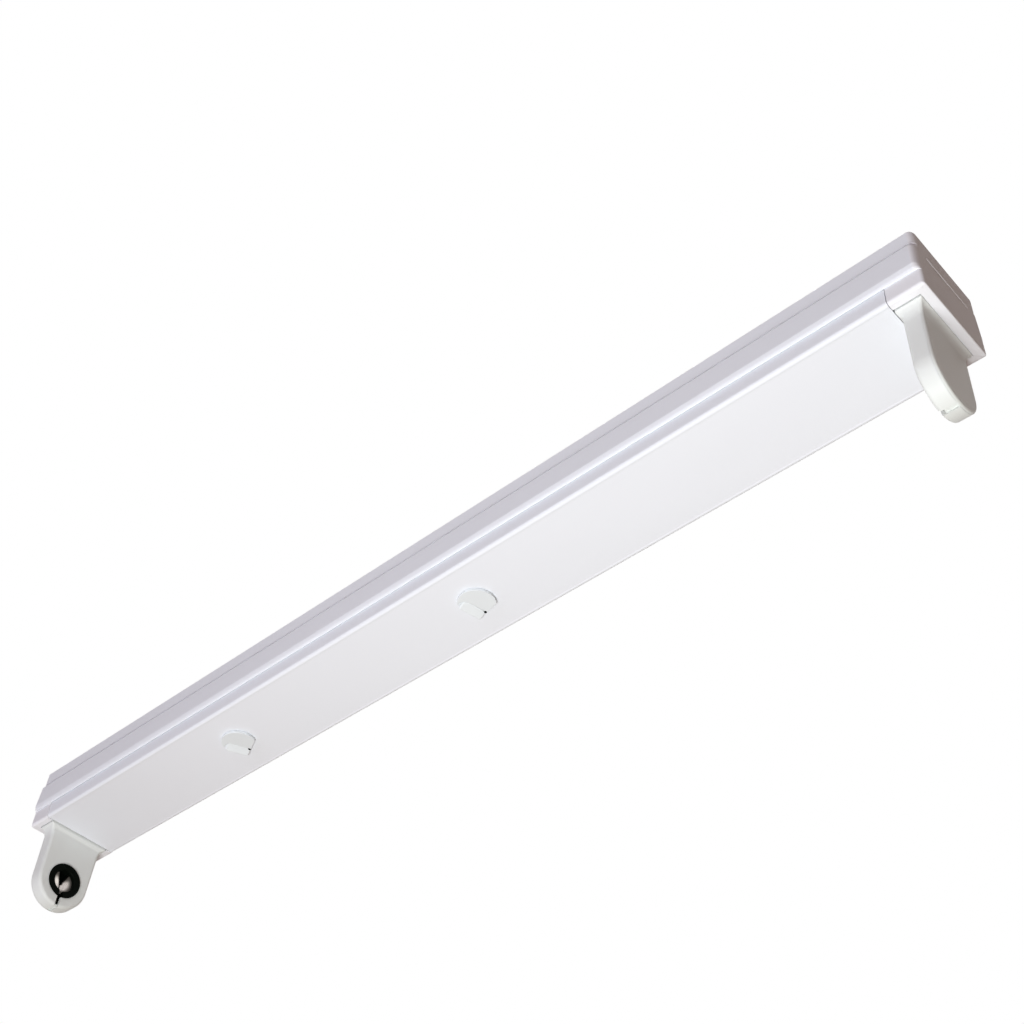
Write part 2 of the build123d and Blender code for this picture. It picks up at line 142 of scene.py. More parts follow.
class Recipe:
    """Node tree of one material, or of the world.

    Args:
        owner: the material or world.
        shader: the name of its surface or background node.
    """

    def __init__(self, owner: bpy.types.Material | bpy.types.World, shader: str = "Principled BSDF") -> None:
        """Turn the nodes on and find the shader."""
        owner.use_nodes = True
        self.tree = owner.node_tree
        self.shader = self.tree.nodes[shader]

    def join(self, value: "Sock | float | tuple", target: bpy.types.NodeSocket) -> None:
        """Link a socket to an input, or set the input to a constant.

        Args:
            value: the socket or the constant.
            target: the input.
        """
        if isinstance(value, Sock):
            self.tree.links.new(value.socket, target)
        else:
            target.default_value = value

    def node(self, kind: str, settings: dict, inputs: dict, output: int | str = 0) -> Sock:
        """Make one node.

        Args:
            kind: the node's type.
            settings: its properties, set first.
            inputs: values or links by socket name or number.
            output: the output that is returned.

        Returns:
            The chosen output as a socket for arithmetic.
        """
        made = self.tree.nodes.new(kind)
        for key, value in settings.items():
            setattr(made, key, value)
        for key, value in inputs.items():
            self.join(value, made.inputs[key])
        return Sock(self, made.outputs[output])

    def spot(self) -> Sock:
        """Object coordinates, in metres."""
        return self.node("ShaderNodeTexCoord", {}, {}, "Object")

    def axes(self) -> tuple[Sock, Sock, Sock]:
        """The three Object coordinates as values."""
        spot = self.spot()
        return tuple(self.node("ShaderNodeSeparateXYZ", {}, {0: spot}, axis) for axis in "XYZ")

    def noise(self, scale: float, detail: float = 2.0, stretch: Triple = EVEN) -> Sock:
        """Noise value between 0 and 1, at so many features a metre, over coordinates stretched along each axis."""
        place = self.node("ShaderNodeMapping", {}, {"Vector": self.spot(), "Scale": stretch})
        return self.node("ShaderNodeTexNoise", {}, {"Vector": place, "Scale": scale, "Detail": detail})

    def feed(self, name: str, value: "Sock | float | tuple") -> None:
        """Set or link one input of the surface or background node, by its name."""
        self.join(value, self.shader.inputs[name])

    def relief(self, height: Sock, depth: float) -> None:
        """Bump the surface by a height field whose full range is depth metres."""
        self.feed("Normal", self.node("ShaderNodeBump", {}, {"Height": height, "Distance": depth, "Strength": 1.0}))


@dataclass(frozen=True)
class Finish:
    """What every finish has; each adds a surface of its own.

    Args:
        colour: linear base colour.
        shade: linear colour of its slightly darker patches.
        rough: roughness at the low and at the high end of the value that drives it.
        gloss: specular level.
    """

    colour: Triple
    shade: Triple
    rough: Pair
    gloss: float = 0.5

    def tone(self, value: Sock) -> Sock:
        """Colour from the shade to the full one as a noise crosses its middle."""
        return value.rise(*MIDDLE).tint(self.shade, self.colour)

    def grit(self, value: Sock) -> Sock:
        """Roughness from its low to its high end as a value goes from 0 to 1."""
        return value * (self.rough[1] - self.rough[0]) + self.rough[0]

    def surface(self, recipe: Recipe) -> None:
        """Feed a material with what varies over its surface."""
        raise NotImplementedError

    def make(self, name: str) -> bpy.types.Material:
        """Build the material.

        Args:
            name: the material's name.

        Returns:
            The new material.
        """
        material = bpy.data.materials.new(name)
        recipe = Recipe(material)
        recipe.feed("Specular IOR Level", self.gloss)
        self.surface(recipe)
        return material


@dataclass(frozen=True)
class PaintFinish(Finish):
    """Stoved white paint on sheet steel: faint orange peel and a few dust nibs."""

    peel: float = 0.00002

    def surface(self, recipe: Recipe) -> None:
        """Cloudy white with a fine peel in the relief.

        Args:
            recipe: the material that they go into.
        """
        cloud = recipe.noise(9.0, 3.0, (0.35, 1.0, 1.0))
        nib = recipe.noise(260.0, 0.0).rise(0.80, 0.86)
        recipe.feed("Base Color", (cloud.rise(*MIDDLE) - nib * 0.2).tint(self.shade, self.colour))
        recipe.feed("Roughness", self.grit(cloud) + nib * 0.1)
        recipe.relief(recipe.noise(700.0) * 0.5 + recipe.noise(240.0, 1.0) * 0.5, self.peel)


@dataclass(frozen=True)
class MouldedFinish(Finish):
    """Moulded plastic: fine spark-eroded grain and soft flow marks."""

    grain: float = 0.000012

    def surface(self, recipe: Recipe) -> None:
        """Flow-marked colour, grain in the roughness and the relief.

        Args:
            recipe: the material that they go into.
        """
        fine = recipe.noise(2600.0, 1.0)
        recipe.feed("Base Color", self.tone(recipe.noise(60.0, 4.0, (1.0, 1.0, 0.3))))
        recipe.feed("Roughness", self.grit(fine))
        recipe.relief(fine, self.grain)


@dataclass(frozen=True)
class MetalFinish(Finish):
    """Plated metal with drawing lines along one axis."""

    along: Triple = (0.06, 1.0, 1.0)
    lines: float = 0.000006

    def surface(self, recipe: Recipe) -> None:
        """Lines in colour, roughness and relief, under spangle-sized patches.

        Args:
            recipe: the material that they go into.
        """
        line = recipe.noise(1500.0, 2.0, self.along)
        patch = recipe.noise(190.0)
        recipe.feed("Metallic", 1.0)
        recipe.feed("Base Color", self.tone(patch * 0.6 + line * 0.4))
        recipe.feed("Roughness", self.grit(line * 0.5 + patch * 0.5))
        recipe.relief(line, self.lines)


@dataclass(frozen=True)
class ContactFinish(MetalFinish):
    """Nickel-plated contact, dark but for a bright band: painted highlight that stands in for the dished contact's
    reflections, with painted shade over its upper part; colour is the highlight's and shade the painted shade's.

    Args:
        axis_z: height of the socket's axis in metres.
        track: radii in metres where the painted highlight starts and ends.
        fade: distances in metres over which it rises at its start and falls at its end.
        slope: how much higher than the axis the painted highlight reaches for each metre to the side.
        painted_shade_z: heights in metres over which painted shade takes the highlight away above.
    """

    axis_z: float = -0.0702
    track: Pair = (0.0004, 0.0062)
    fade: Pair = (0.0016, 0.0024)
    slope: float = 0.7
    painted_shade_z: Pair = (-0.0018, 0.0016)

    def surface(self, recipe: Recipe) -> None:
        """Plated metal whose colour rises to a painted highlight where the root of (Y squared + Z squared) falls inside
        the track, and sinks to painted shade above.

        Args:
            recipe: the material that they go into.
        """
        super().surface(recipe)
        _, y, z = recipe.axes()
        z = z - self.axis_z
        reach = (y * y + z * z).root()
        low, high = self.track
        # painted highlight: bright inside the band of radii, dark outside it
        ring = reach.rise(low, low + self.fade[0]) * (1.0 - reach.rise(high - self.fade[1], high))
        # painted shade: the highlight fades out above a line that rises to the sides
        ring = ring * (1.0 - (z - abs(y) * self.slope).rise(*self.painted_shade_z)) * (recipe.noise(500.0, 3.0) * 0.5 + 0.7)
        recipe.feed("Base Color", ring.tint(self.shade, self.colour))
        recipe.feed("Roughness", self.grit(ring))


@dataclass(frozen=True)
class CableFinish(Finish):
    """Extruded insulation with a faint ripple, and a second colour below one height.

    Args:
        stripe: colour of the lower side, for a two-colour wire.
        stripe_z: height in metres where the stripe starts.
        blur: distance in metres to either side over which it blends.
        ripple: depth of the ripple in metres.
    """

    stripe: Triple | None = None
    stripe_z: float = 0.0
    blur: float = 0.0001
    ripple: float = 0.00003

    def surface(self, recipe: Recipe) -> None:
        """Rippled insulation, striped where a stripe is given.

        Args:
            recipe: the material that they go into.
        """
        wave = recipe.noise(420.0, 2.0, (1.0, 0.4, 0.4))
        if self.stripe is None:
            recipe.feed("Base Color", self.tone(wave))
        else:
            above = recipe.axes()[2].rise(self.stripe_z - self.blur, self.stripe_z + self.blur)
            recipe.feed("Base Color", (above * 0.9 + wave.rise(*MIDDLE) * 0.1).tint(self.stripe, self.colour))
        recipe.feed("Roughness", self.grit(wave))
        recipe.relief(wave, self.ripple)


FINISHES: dict[Look, Finish] = {
    Look.PAINT: PaintFinish((0.822, 0.85, 0.893), (0.797, 0.825, 0.868), (0.34, 0.44), 0.14),
    Look.HOLDER: MouldedFinish((0.755, 0.785, 0.765), (0.735, 0.765, 0.745), (0.34, 0.46), 0.16),
    Look.CAP: MouldedFinish((0.85, 0.86, 0.89), (0.83, 0.84, 0.87), (0.30, 0.40), 0.01),
    Look.BLACK: MouldedFinish((0.0035, 0.0045, 0.0035), (0.002, 0.003, 0.002), (0.34, 0.46), 0.02),
    Look.CONTACT: MetalFinish((0.62, 0.57, 0.50), (0.46, 0.42, 0.36), (0.22, 0.38)),
    Look.ZINC: MetalFinish((0.62, 0.64, 0.67), (0.48, 0.50, 0.53), (0.26, 0.46)),
    Look.SPRING: MetalFinish((0.56, 0.56, 0.57), (0.40, 0.40, 0.41), (0.20, 0.36), along=(1.0, 0.06, 1.0)),
    Look.BLOCK: MouldedFinish((0.74, 0.73, 0.66), (0.69, 0.68, 0.61), (0.36, 0.48)),
    Look.RUBBER: MouldedFinish((0.030, 0.030, 0.031), (0.020, 0.020, 0.021), (0.55, 0.72), grain=0.00003),
    Look.LIVE: CableFinish((0.20, 0.075, 0.030), (0.16, 0.058, 0.022), (0.34, 0.46)),
    Look.NEUTRAL: CableFinish((0.030, 0.11, 0.42), (0.022, 0.085, 0.34), (0.34, 0.46)),
    Look.EARTH: CableFinish((0.05, 0.24, 0.05), (0.04, 0.20, 0.04), (0.34, 0.46), stripe=(0.70, 0.58, 0.04),
                            stripe_z=-0.0087),
}


class Palette:
    """Makes each finish once and hands it out."""

    def __init__(self) -> None:
        """Make the two finishes that share a slot with others."""
        self.made: dict[Look, bpy.types.Material] = {}
        # painted light: the knobs get a lighter, bluer copy of the holder plastic, so their heads come out as bright as
        # they look lit
        self.knob = MouldedFinish((0.774, 0.816, 0.834), (0.754, 0.796, 0.814), (0.34, 0.46), 0.16).make("finish_knob")
        # the holder contacts' finish, with a painted highlight ring and painted shade above it
        self.worn_contact = ContactFinish((0.84, 0.78, 0.72), (0.10, 0.09, 0.08), (0.40, 0.26)).make(
            "finish_worn_contact")

    def get(self, look: Look) -> bpy.types.Material:
        """The material of a finish.

        Args:
            look: the finish.

        Returns:
            Its material, made on first use.
        """
        if look not in self.made:
            self.made[look] = FINISHES[look].make("finish_" + look.value)
        return self.made[look]


def rounded_path(corners: Sequence[Pair], radii: Sequence[float], steps: int = 6) -> np.ndarray:
    """Open path with an arc at each inner corner.

    An arc starts where it leaves the incoming run, radius times tan(half the turn) before the corner, and turns the
    incoming direction into the outgoing one about its centre. A point just outside each arc keeps the runs flat.

    Args:
        corners: the path's points.
        radii: one radius for each inner corner.
        steps: segments in each arc.

    Returns:
        Points of the path, one row each.
    """
    p, r = np.asarray(corners, float), np.asarray(radii, float)
    run = np.diff(p, axis=0)
    run /= np.linalg.norm(run, axis=1)[:, None]
    into, out = run[:-1], run[1:]
    turn = np.arctan2(into[:, 0] * out[:, 1] - into[:, 1] * out[:, 0], (into * out).sum(1))
    start = p[1:-1] - into * (r * np.tan(np.abs(turn) / 2))[:, None]
    centre = start + (np.sign(turn) * r)[:, None] * np.stack([-into[:, 1], into[:, 0]], 1)
    angle = turn[:, None] * np.linspace(0, 1, steps + 1)
    arm = (start - centre)[:, None]
    arc = np.stack([arm[..., 0] * np.cos(angle) - arm[..., 1] * np.sin(angle),
                    arm[..., 0] * np.sin(angle) + arm[..., 1] * np.cos(angle)], -1) + centre[:, None]
    arc = np.concatenate([arc[:, :1] - into[:, None] * GUARD, arc, arc[:, -1:] + out[:, None] * GUARD], 1)
    return np.concatenate([p[:1], arc.reshape(-1, 2), p[-1:]])


def box_plan(x: Pair, y: Pair, radii: Sequence[float], steps: int) -> np.ndarray:
    """Closed rectangle between two ends and two sides, its corners rounded in turn from the low-Y, high-X one."""
    middle = (sum(x) / 2, y[0])
    return rounded_path([middle, (x[1], y[0]), (x[1], y[1]), (x[0], y[1]), (x[0], y[0]), middle], radii, steps)[:-1]


def normals_of(path: np.ndarray, closed: bool) -> np.ndarray:
    """Left-hand mitre normals of a path: the mean of the two runs' normals at a point, over its own length squared.

    Args:
        path: the points.
        closed: whether the last point joins the first.

    Returns:
        One normal for each point, as long as a unit offset needs.
    """
    ahead = np.roll(path, -1, 0) - path
    ahead /= np.maximum(np.linalg.norm(ahead, axis=1), 1e-9)[:, None]
    behind = np.roll(ahead, 1, 0)
    if not closed:
        ahead[-1], behind[0] = ahead[-2], ahead[0]
    mean = (ahead + behind) / 2
    mean /= np.maximum((mean ** 2).sum(1), 0.25)[:, None]
    return np.stack([-mean[:, 1], mean[:, 0]], 1)


def drawn(plan: np.ndarray, draw: np.ndarray) -> np.ndarray:
    """Rings of a closed plan, each drawn in along its normals by an amount for the ring, or for each point of it."""
    return plan + normals_of(plan, True) * draw[..., None]


def quarter(count: int) -> tuple[np.ndarray, np.ndarray]:
    """1 - cos and 1 - sin over a quarter turn: how far a rounding of unit radius has come in, and has yet to go."""
    a = np.linspace(0, np.pi / 2, count)
    return 1 - np.cos(a), 1 - np.sin(a)


def at_x(path: np.ndarray, x: np.ndarray | float) -> np.ndarray:
    """Points of a Y-Z path set at X."""
    return np.concatenate([np.broadcast_to(np.asarray(x, float), path.shape[:-1])[..., None], path], -1)


def at_z(path: np.ndarray, z: np.ndarray | float) -> np.ndarray:
    """Points of an X-Y path set at Z."""
    return np.concatenate([path, np.broadcast_to(np.asarray(z, float), path.shape[:-1])[..., None]], -1)


def circle(x: float, y: float, r: float, steps: int = 32) -> np.ndarray:
    """Closed X-Y loop of a round hole."""
    a = np.arange(steps) * 2 * np.pi / steps
    return np.stack([x + r * np.cos(a), y + r * np.sin(a)], 1)


def oblong(x: float, length: float, width: float, steps: int = 12) -> np.ndarray:
    """Closed X-Y loop of a slot along X: two half circles whose centres are its length less its width apart.

    Args:
        x: its middle.
        length: its whole length.
        width: its width.
        steps: points in each half circle.

    Returns:
        Points of the loop.
    """
    a = np.linspace(-np.pi / 2, np.pi / 2, steps)
    half = np.stack([(length - width) / 2 + width / 2 * np.cos(a), width / 2 * np.sin(a)], 1)
    return np.concatenate([half, -half]) + (x, 0)


def placed(name: str, data: bpy.types.ID) -> bpy.types.Object:
    """Put a mesh, a light or a camera into the scene.

    Args:
        name: the object's name.
        data: what it holds.

    Returns:
        The new object.
    """
    made = bpy.data.objects.new(name, data)
    bpy.context.scene.collection.objects.link(made)
    return made


@dataclass
class Skin:
    """Points and faces of one piece in millimetres, gathered sheet by sheet."""

    points: list[np.ndarray] = field(default_factory=list)
    faces: list[list[int]] = field(default_factory=list)
    count: int = 0

    def add(self, points: np.ndarray) -> np.ndarray:
        """Add points.

        Args:
            points: any layout of points, three numbers each.

        Returns:
            Their numbers in the same layout.
        """
        flat = points.reshape(-1, 3)
        index = np.arange(len(flat)).reshape(points.shape[:-1]) + self.count
        self.points.append(flat)
        self.count += len(flat)
        return index

    def quads(self, index: np.ndarray, keep: np.ndarray | None = None) -> None:
        """Add the quads of a grid of point numbers, or those that keep marks."""
        quads = np.stack([index[:-1, :-1], index[1:, :-1], index[1:, 1:], index[:-1, 1:]], -1)
        self.faces += quads.reshape(-1, 4).tolist() if keep is None else quads[keep].tolist()

    def grid(self, sheet: np.ndarray, rows_close: bool = False, columns_close: bool = False,
             keep: np.ndarray | None = None) -> np.ndarray:
        """Add a grid of points as quads.

        Args:
            sheet: rows by columns by 3.
            rows_close: whether the last row joins the first.
            columns_close: whether the last column joins the first.
            keep: which quads stay.

        Returns:
            The point numbers of the grid.
        """
        index = self.add(sheet)
        loop = np.concatenate([index, index[:1]], 0) if rows_close else index
        loop = np.concatenate([loop, loop[:, :1]], 1) if columns_close else loop
        self.quads(loop, keep)
        return index

    def caps(self, *rings: np.ndarray) -> None:
        """Close each ring of point numbers with one flat face."""
        self.faces += [ring.tolist() for ring in rings]

    def loft(self, rings: np.ndarray, rim: float = 0.004) -> None:
        """Closed body through rings of points, its ends filled inside a hair-thin rim that keeps them flat.

        Args:
            rings: rings by points by 3.
            rim: the rim's width, as a share of the way to an end's middle.
        """
        ends = rings[[0, -1]] + (rings[[0, -1]].mean(1, keepdims=True) - rings[[0, -1]]) * rim
        index = self.grid(np.concatenate([ends[:1], rings, ends[1:]]), columns_close=True)
        self.caps(index[0][::-1], index[-1])

    def slab(self, front: np.ndarray, back: np.ndarray, open_end: bool = False) -> None:
        """Plate between two grids of the same layout, closed round its edges.

        Args:
            front: one face, rows by columns by 3.
            back: the other face.
            open_end: whether the edge along the last column stays open.
        """
        a, b = self.add(front), self.add(back)
        self.quads(a)
        self.quads(b[::-1])
        edges = [(a[0], b[0]), (a[-1][::-1], b[-1][::-1]), (a[::-1, 0], b[::-1, 0]), (a[:, -1], b[:, -1])]
        for edge_a, edge_b in edges[:3] if open_end else edges:
            self.quads(np.stack([edge_b, edge_a]))

    def brick(self, low: Triple, high: Triple, edge: float) -> None:
        """Box with its upright and level edges eased: a rounded plan lofted through eased levels.

        Args:
            low: its lowest corner.
            high: its highest corner.
            edge: the radius of its edges.
        """
        (x0, y0, z0), (x1, y1, z1) = low, high
        ease = np.array([edge, edge * 0.3, 0, 0, edge * 0.3, edge]) * 0.7
        level = np.array([z0, z0 + edge * 0.3, z0 + edge, z1 - edge, z1 - edge * 0.3, z1])
        self.loft(at_z(drawn(box_plan((x0, x1), (y0, y1), [edge] * 4, 3), ease[:, None]), level[:, None]))

    def plate(self, x: Pair, y: Pair, z: Pair, holes: list[np.ndarray]) -> None:
        """Flat plate with holes: its outline and hole loops are filled above and below, and each hole gets a wall.

        Args:
            x: its ends.
            y: its sides.
            z: its outer and inner face.
            holes: one closed X-Y loop for each hole.
        """
        outline = np.array([(x[0], y[0]), (x[1], y[0]), (x[1], y[1]), (x[0], y[1])], float)
        loops = [outline, *holes]
        ends = np.cumsum([len(loop) for loop in loops])
        links = np.concatenate([
            np.stack([np.arange(len(loop)), np.roll(np.arange(len(loop)), -1)], 1) + end - len(loop)
            for loop, end in zip(loops, ends)])
        verts, _, filled, *_ = delaunay_2d_cdt(np.concatenate(loops).tolist(), links.tolist(), [], 1, 1e-5)
        spread, solid = np.array(verts), np.array(filled)
        for loop in holes:  # a triangle is inside one if its middle is on the same side of every run
            run, arm = np.roll(loop, -1, 0) - loop, spread[solid].mean(1)[:, None] - loop
            side = run[:, 0] * arm[..., 1] - run[:, 1] * arm[..., 0]
            solid = solid[~((side > 0).all(1) | (side < 0).all(1))]
        for level in z:
            self.faces += self.add(at_z(spread, level))[solid].tolist()
        for loop in holes:
            self.grid(np.stack([at_z(loop, z[0]), at_z(loop, z[1])]), columns_close=True)
        end = np.stack([at_z(outline[[0, 3]], z[0]), at_z(outline[[0, 3]], z[1])])
        self.grid(end)
        self.grid(end + np.array([x[1] - x[0], 0, 0]))

    def fold(self, outer: np.ndarray, sheet: float, end_x: float, holes: list[np.ndarray]) -> None:
        """Folded sheet: a section carried along X on both sides, and the drilled flat that joins the two.

        Args:
            outer: outer +Y path of the section, which ends at the edge of the flat.
            sheet: thickness to the left of the path, or to its right if negative.
            end_x: half its length.
            holes: one closed X-Y loop for each hole in the flat.
        """
        half, level = outer[-1]
        inner = outer + normals_of(outer, False) * sheet
        inner[-1] = (half, level - sheet)
        xs = np.array([-end_x, end_x])[:, None]
        for side in (1, -1):
            self.slab(*(at_x(np.broadcast_to(path * (side, 1), (2, *path.shape)), xs) for path in (outer, inner)), True)
        self.plate((-end_x, end_x), (-half, half), (level, level - sheet), holes)

    def build(self, name: str, look: Look, palette: Palette, body: str, node: str = "", mirror: bool = False,
              sharp: float = SHARP, material: bpy.types.Material | None = None) -> None:
        """Make the Blender piece.

        Args:
            name: the piece's name.
            look: its finish.
            palette: where finishes come from.
            body: the body that it rides on.
            node: the CAD node that it stands for.
            mirror: whether X changes sign.
            sharp: angle in degrees from which an edge stays sharp.
            material: what it wears in place of its finish's own material.
        """
        points = np.concatenate(self.points) * MM * np.array([-1 if mirror else 1, 1, 1])
        mesh = bpy.data.meshes.new(name)
        mesh.from_pydata(points.tolist(), [], self.faces)
        work = bmesh.new()
        work.from_mesh(mesh)
        bmesh.ops.remove_doubles(work, verts=work.verts, dist=WELD)
        bmesh.ops.recalc_face_normals(work, faces=work.faces)
        work.to_mesh(mesh)
        work.free()
        mesh.polygons.foreach_set("use_smooth", np.ones(len(mesh.polygons), bool))
        mesh.set_sharp_from_angle(angle=math.radians(sharp))
        mesh.materials.append(material or palette.get(look))
        piece = placed(name, mesh)
        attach(piece, body)
        if node:
            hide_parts(node)
        LOG.info("%s: %d faces on %s", name, len(mesh.polygons), body)


@dataclass
class Part:
    """A sub-assembly of the fixture.

    Args:
        palette: where its finishes come from.
    """

    palette: Palette


@dataclass
class EndPart(Part):
    """A sub-assembly that is shaped at the right end and mirrored for the left one.

    Args:
        end: the end that it is for.
    """

    end: End

    def piece(self, stem: str, node: str, skin: Skin, look: Look, turns: bool = False, sharp: float = SHARP,
              material: bpy.types.Material | None = None) -> None:
        """Build one piece, on the body or on the rotor that turns, with this end added to its name and its node's."""
        name = self.end.name.lower()
        skin.build(f"{stem}_{name}", look, self.palette, f"rotor_{name}" if turns else "body", f"{node}_{name}",
                   self.end is End.LEFT, sharp, material)


@dataclass
class Batten(Part):
    """Folded steel base: stepped sides with a rolled hem, and a top plate with its holes.

    Args:
        hem, bead, step: Y and Z of the section's corners, from the hem up to the groove over the step.
        bends: the radius of each inner corner.
        slot: length and width of a ceiling slot.
        rounds: X, Y, radius and points of the cable entry, the block's two screw holes and the earth screw's.
    """

    seam_x: float = 310.2
    sheet: float = 0.8
    hem: tuple[Pair, ...] = ((24.72, -27.9), (25.2, -28.25), (25.7, -28.25), (26.3, -27.3))
    bead: Pair = (26.9, -25.1)
    step: tuple[Pair, ...] = ((26.3, -11.3), (24.3, -11.1), (24.3, -8.75))
    top_half: float = 25.0
    top_low: float = -8.6
    flat_half: float = 23.6
    bends: tuple[float, ...] = (0.6, 0.3, 0.7, 1.2, 0.15, 0.1, 0.1, 0.08, 0.7)
    slot_x: float = 200.0
    slot: Pair = (12.0, 5.0)
    rounds: tuple[tuple[float, float, float, int], ...] = (
        (-104.0, 0.0, 10.0, 48), (-81.0, 0.0, 1.6, 20), (-39.0, 0.0, 1.6, 20), (-15.0, 12.0, 2.2, 24))

    def side(self) -> np.ndarray:
        """Outer Y-Z path of the +Y side, from the rolled hem up past the step's groove to the flat of the top."""
        top = [(self.top_half, self.top_low), (self.top_half, 0.0), (self.flat_half, 0.0)]
        return rounded_path([*self.hem, self.bead, *self.step, *top], self.bends)

    def build(self) -> None:
        """Both sides and the drilled top plate as one piece."""
        skin = Skin()
        holes = [oblong(side * self.slot_x, *self.slot) for side in (-1, 1)] + [circle(*spot) for spot in self.rounds]
        skin.fold(self.side(), self.sheet, self.seam_x, holes)
        skin.build("batten_base", Look.PAINT, self.palette, "body", "base_channel")


@dataclass
class Cover(Part):
    """Shallow painted tray with soft bends and a hair-high rim along its bottom edges."""

    end_x: float = 295.4
    half: float = 24.8
    low_z: float = -38.0
    lap: Pair = (24.4, -21.0)
    sheet: float = 0.6
    rim: float = 0.12
    rim_half: float = 22.74
    rim_fall: float = 0.5
    flat_half: float = 19.0
    bends: Triple = (1.8, 0.3, 0.3)
    stud_hole: float = 3.3

    def side(self) -> np.ndarray:
        """Outer path of the +Y side, from the lap down, round to the shallow rim and off it to the flat.

        Returns:
            Y-Z points of the path.
        """
        edge_z = self.low_z - self.rim
        corners = [self.lap, (self.half, edge_z), (self.rim_half, edge_z),
                   (self.rim_half - self.rim_fall, self.low_z), (self.flat_half, self.low_z)]
        return rounded_path(corners, self.bends, 10)

    def build(self) -> None:
        """Both sides and the bottom with its stud holes as one piece."""
        skin = Skin()
        skin.fold(self.side(), -self.sheet, self.end_x, [circle(x, 0, self.stud_hole, 28) for x, _ in KNOBS])
        skin.build("drop_cover", Look.PAINT, self.palette, "cover", "cover_tray")


@dataclass
class EndCap(EndPart):
    """Moulded end: the batten's section closed by a soft-edged face, over a bull-nosed lip round the holder's foot.

    Args:
        hem: Y and Z below which the section's hem is levelled.
        rib: Y and swell along the rib on the face.
        hooks: end in X and near and far Y of a snap hook's arm and of its bite.
    """

    seam_x: float = 310.2
    end_x: float = 313.0
    lip_x: float = 295.75
    lip_z: float = -38.4
    lip_top: float = -26.6
    half: float = 24.8
    wall: float = 1.6
    foot_gap: float = 4.4
    side_nose: float = 1.7
    end_nose: float = 0.7
    inner_edge: float = 0.2
    corner: float = 1.6
    nose_x: float = 2.7
    top_nose: float = 1.3
    face_half: float = 21.4
    widen_z: float = -20.0
    join_z: float = -28.25
    hem: Pair = (25.4, -27.0)
    rib: tuple[Pair, ...] = ((-16.9, 0.2), (-16.5, 0.75), (-16.0, 1.0), (16.0, 1.0), (16.5, 0.75), (16.9, 0.2))
    rib_z: float = -12.6
    rib_half: float = 0.8
    rib_rise: float = 0.4
    hook_x: float = 306.6
    hook_z: Pair = (-28.0, -20.0)
    hook_edge: float = 0.3
    hooks: tuple[Triple, ...] = ((310.6, 15.4, 17.4), (308.6, 13.2, 15.6))

    def upper(self, skin: Skin) -> None:
        """Closed end above the lip: the batten's section eased into a plainer, narrower face.

        The face's half-width is face_half down to widen_z and eases out from there to the lip. At an angle of the
        quarter turn a ring has come (1 - cos) of the way from section to face, and has (1 - sin) of nose_x to go.

        Args:
            skin: the piece that it is added to.
        """
        side = Batten(self.palette).side()
        side[(side < self.hem).all(1), 1] = self.join_z
        path = np.concatenate([[(0.0, self.join_z)], side, [(0.0, 0.0)]])
        y, z = path.T
        low = np.clip((self.widen_z - z) / (self.widen_z - self.join_z), 0, 1)
        half = self.face_half + (self.half - self.corner - self.face_half) * low * low * (3 - 2 * low)
        face = np.stack([np.minimum(y, half), np.minimum(z, -self.top_nose)], 1)
        ring, plain = (np.concatenate([run, (run * (-1, 1))[-2:0:-1]]) for run in (path, face))
        come, left = quarter(13)
        part = np.concatenate([[0.0], come])[:, None, None]
        xs = np.concatenate([[self.seam_x], self.end_x - self.nose_x * left])
        skin.loft(at_x(ring + (plain - ring) * part, xs[:, None]))

    def lower(self, skin: Skin) -> None:
        """Lip below: one closed section carried round the cap's plan, along a side, across the end and back.

        A point d inside the plan sits on a corner arc of radius (corner - d), or on the mitre once d passes the radius.

        Args:
            skin: the piece that it is added to.
        """
        t = np.linspace(0, 1, 9)
        turn = np.concatenate([t - 1, t]) * np.pi / 2
        blend = np.concatenate([[0.0], t, 1 - t, [0.0]])
        nose = self.side_nose + (self.end_nose - self.side_nose) * blend
        come, left = quarter(9)
        even, low = 0 * nose, self.lip_z
        inset = np.array([self.foot_gap - self.inner_edge, self.foot_gap, self.foot_gap, self.wall, self.wall])
        lift = np.array([0.0, 0.0, self.inner_edge, self.wall, self.wall])
        top = self.lip_top + (self.join_z - self.lip_top) * np.minimum(blend * 3, 1)
        d = np.concatenate([[even, even], nose * come[:, None], [nose + 2 * GUARD], inset[:, None] + even])
        z = np.concatenate([
            [top, low + nose + 2 * GUARD], low + nose * left[:, None], low + lift[:, None] + even, [top]])
        inner = d[:, 1:-1]
        radius, mitre = np.maximum(self.corner - inner, 0), np.maximum(inner - self.corner, 0)
        x = self.end_x - self.corner - mitre + radius * np.cos(turn)
        y = np.repeat([-1.0, 1.0], 9) * (self.half - self.corner - mitre) + radius * np.sin(turn)
        run = np.stack([x, y, z[:, 1:-1]], -1)
        start = np.stack([0 * d[:, 0] + self.lip_x, d[:, 0] - self.half, z[:, 0]], -1)[:, None]
        index = skin.grid(np.concatenate([start, run, start * (1, -1, 1)], 1), rows_close=True)
        skin.caps(index[:, 0], index[:, -1][::-1])

    def build(self) -> None:
        """The closed end with its half-round rib, the lip and two snap hooks as one piece."""
        skin = Skin()
        self.upper(skin)
        self.lower(skin)
        a = np.linspace(0, np.pi, 9)
        y, swell = np.array(self.rib).T[..., None]
        x = self.end_x - 2 * GUARD + self.rib_rise * np.sin(a) * swell
        skin.loft(np.stack([x, y + 0 * x, self.rib_z + self.rib_half * np.cos(a) * swell], -1))
        for side in (-1, 1):
            for end_x, *reach in self.hooks:
                near, far = sorted(side * y for y in reach)
                skin.brick((self.hook_x, near, self.hook_z[0]), (end_x, far, self.hook_z[1]), self.hook_edge)
        self.piece("end_cap_skin", "end_cap", skin, Look.CAP)


